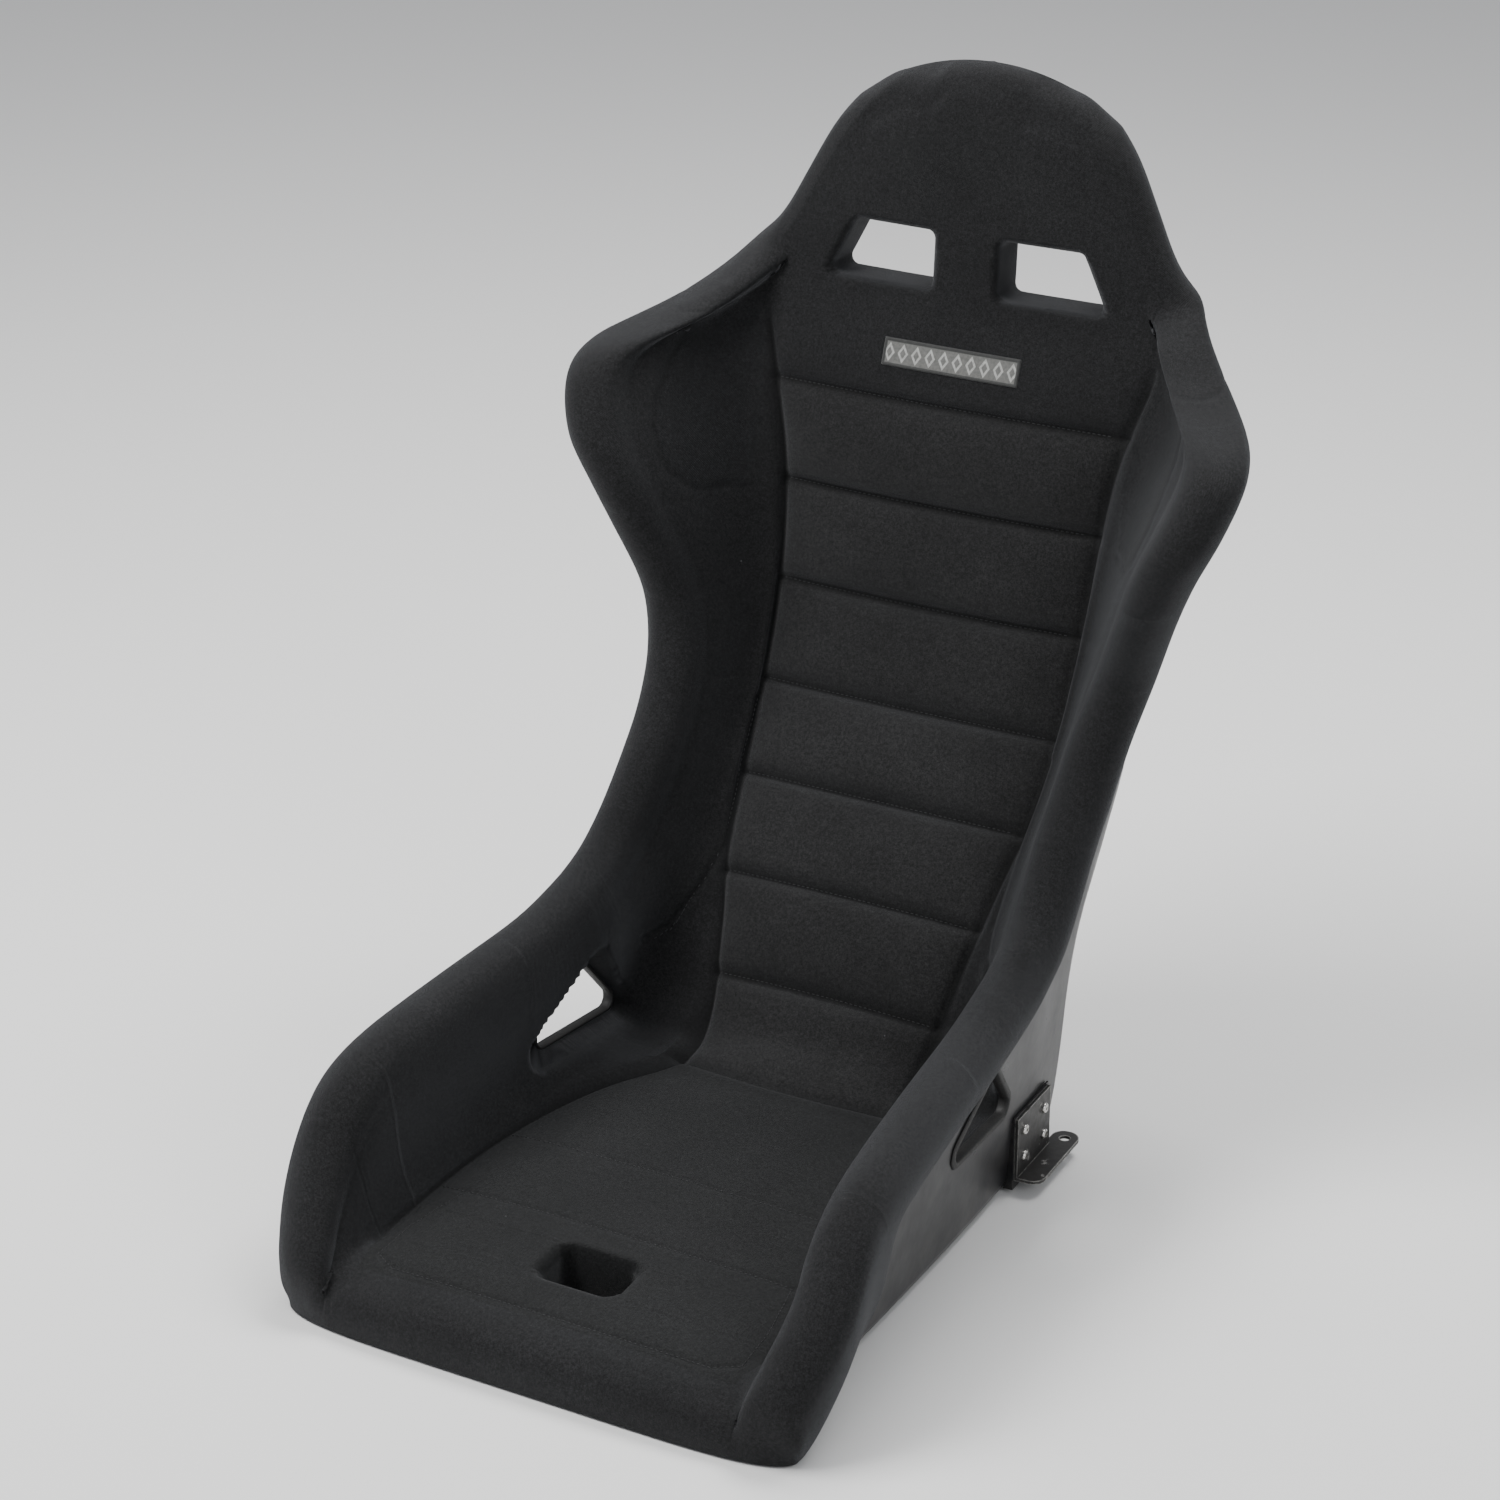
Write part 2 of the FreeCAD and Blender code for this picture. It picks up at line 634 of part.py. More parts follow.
def add_rectangle(sketch, width, height, mirror=1):
    """A rectangle from the sketch's origin, with both sides bound to sheet expressions."""
    corners = [V(0, 0, 0), V(mirror * 20, 0, 0), V(mirror * 20, 20, 0), V(0, 20, 0)]
    for start, end in zip(corners, corners[1:] + corners[:1]):
        sketch.addGeometry(Part.LineSegment(start, end))
    for line in range(4):
        sketch.addConstraint(Sketcher.Constraint("Coincident", line, 2, (line + 1) % 4, 1))
    for line in (0, 2):
        sketch.addConstraint(Sketcher.Constraint("Horizontal", line))
    for line in (1, 3):
        sketch.addConstraint(Sketcher.Constraint("Vertical", line))
    sketch.addConstraint(Sketcher.Constraint("Coincident", 0, 1, -1, 1))
    first, second = (1, 2) if mirror > 0 else (2, 1)
    across = sketch.addConstraint(Sketcher.Constraint("DistanceX", 0, first, 0, second, 20))
    up = sketch.addConstraint(Sketcher.Constraint("DistanceY", 1, 1, 1, 2, 20))
    sketch.setExpression("Constraints[%d]" % across, width)
    sketch.setExpression("Constraints[%d]" % up, height)


def add_hole(sketch, diameter, across, up, mirror=1):
    """A circle with its centre and diameter bound to sheet expressions."""
    circle = sketch.addGeometry(Part.Circle(V(mirror * 10, 10, 0), V(0, 0, 1), 2))
    first, second = ((-1, 1), (circle, 3)) if mirror > 0 else ((circle, 3), (-1, 1))
    bindings = (
        (Sketcher.Constraint("Diameter", circle, 4), diameter),
        (Sketcher.Constraint("DistanceX", *first, *second, 10), across),
        (Sketcher.Constraint("DistanceY", -1, 1, circle, 3, 10), up),
    )
    for constraint, expression in bindings:
        index = sketch.addConstraint(constraint)
        sketch.setExpression("Constraints[%d]" % index, expression)


def extrude(body, kind, sketch, length, backwards):
    item = body.newObject(kind, sketch.Name + "_" + kind.split("::")[1])
    item.Profile = sketch
    item.setExpression("Length", length)
    item.Reversed = backwards
    doc.recompute()
    return item


def bracket(label, side):
    """Bent steel side mount: an upright bolted to the shell and a flange to bolt down."""
    body = doc.addObject("PartDesign::Body", label)
    body.Label = label
    upright = sketch_on(body, "YZ_Plane", label + "_upright")
    add_rectangle(upright, "Sizes.plate_length", "Sizes.plate_height")
    for column in range(2):
        for row in range(2):
            add_hole(
                upright,
                "Sizes.bolt_hole",
                "Sizes.bolt_first_y + %d * Sizes.bolt_pitch_y" % column,
                "Sizes.bolt_first_z + %d * Sizes.bolt_pitch_z" % row,
            )
    extrude(body, "PartDesign::Pad", upright, "Sizes.plate_thick", side < 0)
    foot = sketch_on(body, "XY_Plane", label + "_foot")
    add_rectangle(foot, "Sizes.flange_reach", "Sizes.plate_length + Sizes.flange_tail", side)
    extrude(body, "PartDesign::Pad", foot, "Sizes.plate_thick", False)
    hole = sketch_on(body, "XY_Plane", label + "_hole")
    add_hole(hole, "Sizes.flange_hole", "Sizes.flange_hole_out", "Sizes.flange_hole_aft", side)
    extrude(body, "PartDesign::Pocket", hole, "2 * Sizes.plate_thick", True)
    tip = body.Tip
    rounded = body.newObject("PartDesign::Fillet", label + "_round")
    reach_x = side * size("flange_reach")
    tail_y = size("plate_length") + size("flange_tail")
    corners = [(reach_x, 0), (reach_x, tail_y), (0, tail_y)]
    names = [
        "Edge%d" % number
        for number, edge in enumerate(tip.Shape.Edges, start=1)
        if edge.Length < size("plate_thick") + 0.1
        and any(math.hypot(v.X - x, v.Y - y) < 0.01 for v in edge.Vertexes[:1] for x, y in corners)
        and abs(edge.tangentAt(edge.FirstParameter).z) > 0.9
    ]
    rounded.Base = (tip, names)
    rounded.setExpression("Radius", "Sizes.flange_round")
    body.Tip = rounded
    body.Placement = FreeCAD.Placement(
        V(side * FACE.x, FACE.y, FACE.z) + SHIFT, FreeCAD.Rotation(V(0, 0, 1), side * size("plate_toe"))
    )
    doc.recompute()
    return body


brackets = [bracket("bracket_right", 1), bracket("bracket_left", -1)]

# Backing plates follow the leaning inner face of the wall; the nuts bear on them.
# Each pair is the plate's outer face and its height, in the bracket's axes.
BACKING_LOW = (-9.8, 8)
BACKING_HIGH = (-6.8, 50)
BACKING = size("backing_thick")
backing_lean = (BACKING_HIGH[0] - BACKING_LOW[0]) / (BACKING_HIGH[1] - BACKING_LOW[1])
backing_points = [
    V(BACKING_LOW[0], 0, BACKING_LOW[1]),
    V(BACKING_HIGH[0], 0, BACKING_HIGH[1]),
    V(BACKING_HIGH[0] - BACKING, 0, BACKING_HIGH[1]),
    V(BACKING_LOW[0] - BACKING, 0, BACKING_LOW[1]),
]
backing_face = Part.Face(Part.makePolygon(backing_points + backing_points[:1]))
backing = backing_face.extrude(V(0, size("plate_length"), 0))
backing = seated(backing.cut([
    Part.makeCylinder(size("bolt_hole") / 2, 50, V(-30, y, z), V(1, 0, 0)) for y, z in bolt_places
]))
feature("backing_plate_right", backing)
feature("backing_plate_left", mirrored(backing))


def bolt(y, z):
    """Button-head bolt through bracket, shell and backing plate."""
    start = size("plate_thick")
    radius = size("bolt_head_dia") / 2
    head = Part.makeCylinder(radius, size("bolt_head_high"), V(start, y, z), V(1, 0, 0))
    rim = [edge for edge in head.Edges if edge.Closed and edge.CenterOfMass.x > start + 1]
    head = head.makeFillet(size("bolt_head_high") * 0.6, rim)
    shank = Part.makeCylinder(size("bolt_dia") / 2, size("bolt_length"), V(start, y, z), V(-1, 0, 0))
    crown = V(start + size("bolt_head_high"), y, z)
    socket = Part.makeCylinder(size("bolt_dia") * 0.3, 1.6, crown, V(-1, 0, 0))
    return head.fuse(shank).cut(socket).removeSplitter()


def nut(y, z):
    half = size("nut_across") / 2
    corner = half / math.cos(math.pi / 6)
    face_x = BACKING_LOW[0] - BACKING + backing_lean * (z - corner - BACKING_LOW[1]) - 0.05
    turns = [math.pi / 3 * step for step in range(6)]
    points = [V(face_x, y + corner * math.cos(turn), z + corner * math.sin(turn)) for turn in turns]
    hexagon = Part.Face(Part.makePolygon(points + points[:1])).extrude(V(-size("nut_thick"), 0, 0))
    bore = Part.makeCylinder(size("bolt_dia") / 2 + 0.1, 40, V(10, y, z), V(-1, 0, 0))
    return hexagon.cut(bore)


def both_sides(solids):
    right = [seated(solid) for solid in solids]
    return Part.makeCompound(right + [mirrored(solid) for solid in right])


feature("bracket_bolts", both_sides([bolt(y, z) for y, z in bolt_places]))
feature("bracket_nuts", both_sides([nut(y, z) for y, z in bolt_places]))


# ---------------------------------------------------------------- floor inserts
def insert(x, y):
    """Threaded mounting insert bonded into the shell floor, its flange inside."""
    barrel = Part.makeCylinder(size("insert_dia") / 2, size("insert_high"), V(x, y, size("base_trim")))
    flange = Part.makeCylinder(size("insert_flange") / 2, size("insert_flange_thick"), V(x, y, WALL + 0.05))
    below = V(x, y, -size("insert_high"))
    bore = Part.makeCylinder(size("insert_bore") / 2, 4 * size("insert_high"), below)
    return barrel.fuse(flange).cut(bore).removeSplitter()


feature("floor_inserts", Part.makeCompound([insert(x, y) for x, y in insert_places]))

# ---------------------------------------------------------------- woven patch
patch = doc.addObject("Part::Box", "label_patch")
patch.Label = "label_patch"
patch.setExpression("Length", "Sizes.patch_width")
patch.setExpression("Width", "Sizes.patch_thick")
patch.setExpression("Height", "Sizes.patch_height")
low = on_rib(RIBS[18], 0, RIBS[18].pad)
high = on_rib(RIBS[19], 0, RIBS[19].pad)
lean = math.degrees(math.atan2(high.y - low.y, high.z - low.z))
patch_foot = V(-size("patch_width") / 2, low.y - 5.4, low.z - 7)
patch.Placement = FreeCAD.Placement(patch_foot + SHIFT, FreeCAD.Rotation(V(1, 0, 0), -lean))

# ---------------------------------------------------------------- checks and export
doc.recompute()
inside_bodies = {member for body in brackets for member in body.OutListRecursive}
sub_parts = [
    item for item in doc.Objects
    if item not in inside_bodies and not item.isDerivedFrom("Spreadsheet::Sheet")
]
for item in doc.Objects:
    if "Invalid" in item.State or "Error" in item.State:
        raise RuntimeError("failed feature: " + item.Name)
for item in sub_parts:
    if item.Shape.isNull() or not item.Shape.isValid():
        raise RuntimeError("bad shape: " + item.Label)
os.makedirs("parts", exist_ok=True)
whole = FreeCAD.BoundBox()
for item in sub_parts:
    item.Shape.exportStep("parts/%s.step" % item.Label)
    whole.add(item.Shape.BoundBox)
    print("%-22s %9.1f cm3  %d solid(s)" % (item.Label, item.Shape.Volume / 1000, len(item.Shape.Solids)))
print("X %.1f to %.1f, Y %.1f to %.1f, Z %.1f to %.1f" % (
    whole.XMin, whole.XMax, whole.YMin, whole.YMax, whole.ZMin, whole.ZMax))
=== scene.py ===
"""Racing bucket seat: sewn cloth covers over the moulded shell, with its side mounts and belt openings.

The covers are drawn as one skin on the shell's own ribs and then cut apart along the seams, so that
neighbouring pieces meet exactly. Lengths are in millimetres until a mesh is made.
"""
import math
from collections import namedtuple

import bpy
import numpy as np
from mathutils import Matrix, Vector


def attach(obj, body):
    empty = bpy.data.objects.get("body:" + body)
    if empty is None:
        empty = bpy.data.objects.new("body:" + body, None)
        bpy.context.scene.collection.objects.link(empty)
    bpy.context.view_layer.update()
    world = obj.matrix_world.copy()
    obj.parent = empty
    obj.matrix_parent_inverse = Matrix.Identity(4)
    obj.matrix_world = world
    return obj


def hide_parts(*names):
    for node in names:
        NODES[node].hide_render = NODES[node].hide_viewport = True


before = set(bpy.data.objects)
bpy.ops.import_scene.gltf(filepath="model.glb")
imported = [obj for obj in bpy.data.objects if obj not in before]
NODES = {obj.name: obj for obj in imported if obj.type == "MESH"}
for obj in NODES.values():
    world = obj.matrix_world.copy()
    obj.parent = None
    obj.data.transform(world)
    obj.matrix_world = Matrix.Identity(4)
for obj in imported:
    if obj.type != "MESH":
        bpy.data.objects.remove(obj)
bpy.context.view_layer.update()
DATUM = -51.0                  # the drawing's Y to the row frame's Y
WALL = 4.0                     # shell laminate
CLEAR_OF_WALL = 3.5            # about how much foam the side's cover leaves over the shell
LIFT = 1.6                     # of the cover's edge above the shell's outer face
CAMBER = 4.0                   # how much fuller the centre pad is in the middle

# ---------------------------------------------------------------- ribs
# From the front edge over the hips to the head: the shell's outer face on the centre line (spine),
# its edge (rim), half-widths at both, corner radius, depth of the padding, half-width of the centre
# pad, radius of the padded edge, and how far the side's inner face curves in.
RIBS = np.array((
    # spine_y z, rim_y z, floor rim_half corner pad seam roll hollow
    (-300, 0, -300, 50, 186, 211, 12, 38, 172, 24, 0.05),
    (-262, 0, -264, 92, 187, 223, 13, 45, 174, 26, 0.06),
    (-205, 0, -212, 148, 188, 221, 14, 50, 174, 26, 0.07),
    (-92, 0, -92, 168, 187, 209, 14, 56, 168, 25, 0.10),
    (20, 0, 10, 178, 184, 200, 14, 62, 138, 24, 0.22),
    (95, 0, 62, 189, 180, 197, 14, 66, 98, 24, 0.40),
    (145, 0, 92, 198, 177, 196, 16, 90, 98, 24, 0.42),
    (204, 4, 115, 209, 174, 195, 20, 138, 106, 24, 0.28),
    (234, 50, 135, 222, 172, 195, 26, 132, 112, 24, 0.18),
    (247, 120, 150, 236, 174, 194, 30, 98, 119, 24, 0.14),
    (266, 175, 168, 256, 176, 193, 34, 78, 124, 24, 0.12),
    (302, 230, 190, 284, 178, 192, 38, 73, 130, 24, 0.10),
    (336, 288, 214, 314, 180, 193, 40, 71, 135, 24, 0.10),
    (354, 350, 238, 358, 187, 197, 42, 60, 138, 24, 0.10),
    (365, 415, 252, 408, 205, 210, 46, 50, 140, 24, 0.10),
    (372, 475, 240, 462, 224, 230, 54, 45, 143, 24, 0.11),
    (377, 520, 231, 508, 234, 249, 60, 43, 148, 25, 0.12),
    (382, 560, 232, 548, 244, 268, 62, 44, 156, 26, 0.13),
    (389, 606, 262, 600, 240, 277, 60, 38, 170, 25, 0.13),
    (394, 652, 332, 631, 196, 225, 30, 28, 182, 23, 0.08),
    (398, 692, 388.5, 690, 160, 168, 7, 25, 146, 19, 0.05),
    (404, 740, 394.5, 738.5, 133, 141, 7, 25, 118, 18, 0.05),
    (411, 786, 401.5, 784.5, 108, 116, 7, 25, 94, 18, 0.05),
    (417, 820, 407.5, 818.5, 78, 86, 7, 25, 66, 17, 0.05),
), dtype=float)
Rib = namedtuple("Rib", "spine_y spine_z rim_y rim_z floor rim_half corner pad seam roll hollow")
LAST = len(RIBS) - 1
HIP = 5                        # the cushion meets the back
NOTCH = 19                     # the shoulder wing meets the head

# Columns of the skin on each side: centre pad, side wall, padded edge, wrap over the shell's outside.
CENTRE, SIDE, ROLL, WRAP = 38, 32, 26, 16
HALF = CENTRE + SIDE + ROLL + WRAP
NOSE_ROWS, CROWN_ROWS = 18, 14
ROW_STEP = 3.4
NOSE_TAPER, NOSE_BOW, HEM_HEIGHT = 0.985, 24, 1.2       # the cover's front edge
RIDGE_FORWARD, RIDGE_HEIGHT = 11, 25                    # the top of the head, from the last rib's spine


def smoothstep(value):
    value = np.clip(value, 0, 1)
    return value * value * (3 - 2 * value)


def blur(field, width):
    """Gaussian blur down the rows."""
    reach = int(3 * width) + 1
    kernel = np.exp(-0.5 * (np.arange(-reach, reach + 1) / width) ** 2)
    kernel /= kernel.sum()
    above = 2 * field[:1] - field[reach:0:-1]
    below = 2 * field[-1:] - field[-2:-reach - 2:-1]
    padded = np.concatenate([above, field, below])
    return np.apply_along_axis(lambda column: np.convolve(column, kernel, "valid"), 0, padded)


PER_RIB = 40
FINE = np.linspace(0, LAST, LAST * PER_RIB + 1)


def fine_ribs():
    """Catmull-Rom through the ribs, slightly blurred so that no rib shows."""
    start = np.minimum(FINE.astype(int), LAST - 1)
    t = (FINE - start)[:, None]
    a = RIBS[np.maximum(start - 1, 0)]
    b = RIBS[start]
    c = RIBS[start + 1]
    d = RIBS[np.minimum(start + 2, LAST)]
    curve = 0.5 * (((-a + 3 * b - 3 * c + d) * t + 2 * a - 5 * b + 4 * c - d) * t * t + (c - a) * t + 2 * b)
    curve = blur(curve, 10)
    curve[:, 1] = np.maximum(curve[:, 1], 0)
    return curve


FINE_RIBS = fine_ribs()


def rib_at(place):
    """The rib at any place between the drawn ones."""
    return Rib(*(float(np.interp(place, FINE, FINE_RIBS[:, k])) for k in range(FINE_RIBS.shape[1])))


def reach(rib):
    """How far a rib stands from spine to rim."""
    return math.hypot(rib.rim_y - rib.spine_y, rib.rim_z - rib.spine_z)


def in_space(rib, section):
    """Section points (x, high) in the drawing's space."""
    share = section[:, 1] / reach(rib)
    y = rib.spine_y + (rib.rim_y - rib.spine_y) * share
    z = rib.spine_z + (rib.rim_z - rib.spine_z) * share
    return np.stack([section[:, 0], y, z], axis=1)


def bezier(p0, p1, p2, p3, count):
    """Points after the first one of a cubic curve."""
    t = np.linspace(0, 1, count + 1)[1:, None]
    return (1 - t) ** 3 * p0 + 3 * (1 - t) ** 2 * t * p1 + 3 * (1 - t) * t * t * p2 + t ** 3 * p3


def shell_path(rib, along):
    """Point, direction and outward normal on the shell's outer face, measured from its edge."""
    turn = math.atan2(reach(rib), rib.rim_half - rib.floor)
    middle = np.array([rib.floor - rib.corner * math.tan(turn / 2), rib.corner])
    foot = middle + rib.corner * np.array([math.sin(turn), -math.cos(turn)])
    rim = np.array([rib.rim_half, reach(rib)])
    wall = np.linalg.norm(rim - foot)
    if along < wall:
        way = (foot - rim) / wall
        point = rim + way * along
    elif along < wall + rib.corner * turn:
        angle = turn - (along - wall) / rib.corner
        point = middle + rib.corner * np.array([math.sin(angle), -math.cos(angle)])
        way = np.array([-math.cos(angle), -math.sin(angle)])
    else:
        rest = along - wall - rib.corner * turn
        point = np.array([max(middle[0] - rest, 0), 0])
        way = np.array([-1.0, 0.0])
    return point, way, np.array([-way[1], way[0]])


def half_section(place):
    """The skin's right half at a rib place: centre pad, side wall, padded edge, wrap."""
    rib = rib_at(place)
    top = reach(rib)
    head = float(smoothstep((40 - top) / 26))
    toe = float(smoothstep((-150 - rib.rim_y) / 55))
    t = np.linspace(0, 1, CENTRE + 1)
    centre = np.stack([rib.seam * t, rib.pad + CAMBER * (1 - t * t)], axis=1)

    valley = centre[-1]
    tall = rib.roll * (1 - head) + 0.5 * (rib.pad + CAMBER) * head
    middle = np.array([rib.rim_half - 2, top * (1 - head) + (rib.pad - 1.5 - tall) * head])
    start = 190 - 108 * head
    inner = math.radians(start)
    roll_in = middle + np.array([rib.roll, tall]) * [math.cos(inner), math.sin(inner)]
    chord = roll_in - valley
    square = np.array([chord[1], -chord[0]])
    side = bezier(
        valley,
        valley + 0.333 * chord + 2.2 * rib.hollow * (1 - head) * square,
        valley + 0.667 * chord + 0.07 * rib.hollow * square,
        roll_in,
        SIDE,
    )
    lean = (rib.rim_half - rib.floor) / top
    clear = rib.floor + lean * side[:, 1] - WALL - CLEAR_OF_WALL
    over = side[:, 0] - clear
    keep = 1 - head
    side[:, 0] -= keep * np.where(over > -4, (over + 4) ** 2 / (16 + np.maximum(over + 4, 0)), 0)

    stop = -35 * (1 - toe) * (1 - head) - 80 * head
    turns = np.radians(np.linspace(start, stop, ROLL + 1)[1:])
    roll = middle + np.stack([rib.roll * np.cos(turns), tall * np.sin(turns)], axis=1)
    leave = np.array([rib.roll * math.sin(turns[-1]), -tall * math.cos(turns[-1])])
    leave /= np.linalg.norm(leave)

    back = float(smoothstep((place - 22.3) / 0.6))  # at the crown the cover wraps right round the back
    half_round = 1.5 * rib.roll
    whole = 10 + rib.corner * 1.2 + rib.floor
    spot, way, out = shell_path(rib, half_round * (1 - back) + whole * back)
    end = spot + LIFT * out
    flare = 34 * float(smoothstep((-215 - rib.rim_y) / 80))
    toe_end = np.array([rib.floor + 3 + flare, 1.5 if top > 20 else end[1]])
    end = end * (1 - toe) + toe_end * toe
    way = way * (1 - toe) + np.array([-0.5, -0.85]) * toe
    span = np.linalg.norm(end - roll[-1])
    pull = 0.38 if back < 0.5 else 0.3
    wrap = bezier(roll[-1], roll[-1] + pull * span * leave, end - pull * span * way, end, WRAP)
    return in_space(rib, np.concatenate([centre, side, roll, wrap]))


def wall_at(y, z):
    """Half-width of the shell's outer face at a height on its side."""
    run_y, run_z = FINE_RIBS[:, 2] - FINE_RIBS[:, 0], FINE_RIBS[:, 3] - FINE_RIBS[:, 1]
    side = run_y * (z - FINE_RIBS[:, 1]) - run_z * (y - FINE_RIBS[:, 0])
    near = slice(2 * PER_RIB, 9 * PER_RIB)
    at = FINE_RIBS[near][np.argmin(np.abs(side[near]) / np.hypot(run_y[near], run_z[near]))]
    share = math.hypot(y - at[0], z - at[1]) / math.hypot(at[2] - at[0], at[3] - at[1])
    return at[4] + (at[5] - at[4]) * share


def row_places():
    """Rib places that step evenly along the skin, with every sewn cross seam exactly on a row."""
    steps = np.linspace(0, LAST, LAST * 12 + 1)
    sections = [half_section(place) for place in steps]
    travel = [0.0]
    for before, after in zip(sections, sections[1:]):
        moved = np.linalg.norm(after - before, axis=1)
        travel.append(travel[-1] + 0.5 * (moved[0] + moved[CENTRE + SIDE]) + 0.1 * moved.max())
    travel = np.array(travel)
    count = int(travel[-1] / ROW_STEP)
    places = np.interp(np.linspace(0, travel[-1], count), travel, steps)
    heights = np.array([section[0][2] for section in sections])
    back = steps > HIP + 1
    seams = [float(np.interp(z, heights[back], steps[back])) for z in CHANNEL_Z]
    for place in [FRONT_SEAM, float(HIP)] + seams + [float(NOTCH)]:
        places[np.argmin(np.abs(places - place))] = place
    return places, seams


CHANNEL_Z = (123, 197, 263, 329, 407, 489, 572)
FRONT_SEAM = 0.33
PLACES, CHANNELS = row_places()
COLUMNS = np.arange(-HALF, HALF + 1)


def heading(line, before):
    lead = line - before
    return lead / np.linalg.norm(lead, axis=1)[:, None]


def hermite(start, lead, end, way, tight, count):
    """Rows that run from one line of points to another, leaving along lead and arriving along way."""
    chord = np.linalg.norm(end - start, axis=1)[:, None]
    rows = []
    for t in np.linspace(0, 1, count + 1)[1:]:
        h00, h10 = 2 * t ** 3 - 3 * t ** 2 + 1, t ** 3 - 2 * t ** 2 + t
        h01, h11 = -2 * t ** 3 + 3 * t ** 2, t ** 3 - t ** 2
        rows.append(h00 * start + h10 * tight * chord * lead + h01 * end + h11 * tight * chord * way)
    return rows


def nose(front, behind):
    """Rows that roll the cover over the front edge and down to the floor."""
    step = np.linalg.norm(np.diff(front, axis=0), axis=1)
    along = np.concatenate([[0], np.cumsum(step)])
    side = np.clip((along - along[CENTRE]) / (along[-1] - along[CENTRE]), 0, 1)
    wide = front[-1, 0]
    narrow = NOSE_TAPER * front[CENTRE, 0]
    x = np.where(side > 0, narrow + (wide - narrow) * (1 - (1 - side) ** 1.6), NOSE_TAPER * front[:, 0])
    y = front[0, 1] - NOSE_BOW * np.sqrt(np.maximum(1 - (x / wide) ** 6, 0))
    end = np.stack([x, y, np.full_like(x, HEM_HEIGHT)], axis=1)
    down = np.tile([0.0, 0.0, -1.0], (len(front), 1))
    return hermite(front, heading(front, behind), end, down, 1.35, NOSE_ROWS)


def crown(last, before):
    """Rows that close the cover over the top of the head."""
    rib = rib_at(LAST)
    spine = np.array([0, rib.spine_y, rib.spine_z])
    forward = np.array([0, rib.rim_y - rib.spine_y, rib.rim_z - rib.spine_z]) / reach(rib)
    high = (last - spine) @ forward
    x = 0.8 * last[:, 0]
    ridge = spine + RIDGE_FORWARD * forward + np.array([0, 0.16, 0.987]) * RIDGE_HEIGHT
    end = ridge + np.stack([x, 0 * x, -0.0021 * np.abs(x) ** 2.05], axis=1)
    facing = np.clip((high - RIDGE_FORWARD) / 10, -1, 1)[:, None]
    over = -forward * facing - np.stack([0.5 * x / 70, 0 * x, -0.3 * (x / 80) ** 2], axis=1)
    return hermite(last, heading(last, before), end, over, 1.1, CROWN_ROWS)


def make_skin():
    """The whole cover as rows by columns by xyz, mirrored about the centre line, and each row's place."""
    body = [half_section(place) for place in PLACES]
    rows = nose(body[0], half_section(0.3))[::-1] + body + crown(body[-1], half_section(LAST - 0.25))
    places = np.concatenate([
        -np.arange(NOSE_ROWS, 0, -1) / NOSE_ROWS,
        PLACES,
        LAST + np.arange(1, CROWN_ROWS + 1) / CROWN_ROWS,
    ])
    half = np.array(rows)
    left = half[:, :0:-1] * np.array([-1.0, 1.0, 1.0])
    return np.concatenate([left, half], axis=1), places


SKIN, ROW_PLACE = make_skin()
ROWS, COLS = SKIN.shape[:2]
MID = HALF
PLACE_GRID = np.repeat(ROW_PLACE[:, None], COLS, axis=1)
COL_GRID = np.repeat(np.abs(COLUMNS)[None, :], ROWS, axis=0)
IN_CENTRE = COL_GRID <= CENTRE


def row_at(place):
    """The row of the skin nearest to a rib place."""
    return int(np.argmin(np.abs(ROW_PLACE - place)))


def neighbour_mean(field):
    """Mean of each inner point's four neighbours."""
    return 0.25 * (field[2:, 1:-1] + field[:-2, 1:-1] + field[1:-1, 2:] + field[1:-1, :-2])


def hump(grid, centre, width):
    return np.exp(-((grid - centre) / width) ** 2)


def relax(points, weight, rounds):
    """Evens the skin out where the weight says so; the outer border stays."""
    for _ in range(rounds):
        mean = points.copy()
        mean[1:-1, 1:-1] = neighbour_mean(points)
        points = points + (mean - points) * weight[..., None] * 0.8
    return points


near_front = hump(PLACE_GRID, 0.0, 0.22)
near_top = hump(PLACE_GRID, LAST, 0.35) * (PLACE_GRID < LAST + 0.6)
near_notch = 0.8 * hump(PLACE_GRID, NOTCH + 0.3, 0.45) * smoothstep((COL_GRID - CENTRE + 6) / 6)
near_edge = (np.abs(COL_GRID - CENTRE - SIDE) < 6) * 0.4
near_edge = near_edge + (np.abs(COL_GRID - CENTRE - SIDE - ROLL) < 5) * 0.4
front_valley = hump(PLACE_GRID, 0.2, 0.55) * hump(COL_GRID, CENTRE + 5, 13)
notch_valley = hump(PLACE_GRID, NOTCH - 0.15, 0.5) * hump(COL_GRID, CENTRE + 8, 14)
crown_corner = smoothstep((PLACE_GRID - LAST + 0.55) / 0.4) * smoothstep((COL_GRID - CENTRE + 16) / 14)
SKIN = relax(SKIN, np.clip(near_front + near_top + near_notch + near_edge, 0, 1), 14)
SKIN = relax(SKIN, front_valley, 70)
SKIN = relax(SKIN, notch_valley, 60)
SKIN = relax(SKIN, crown_corner, 110)


def normals_of(points):
    """Outward normals of the skin."""
    normal = np.cross(np.gradient(points, axis=1), np.gradient(points, axis=0))
    return normal / np.maximum(np.linalg.norm(normal, axis=2), 1e-9)[..., None]


# The junction of cushion and back bows forward in the middle.
bow = hump(PLACE_GRID, HIP, 0.9) * (COL_GRID < CENTRE) * (1 - (COL_GRID / CENTRE) ** 2)
SKIN[..., 1] -= 11 * bow
NORMAL = normals_of(SKIN)


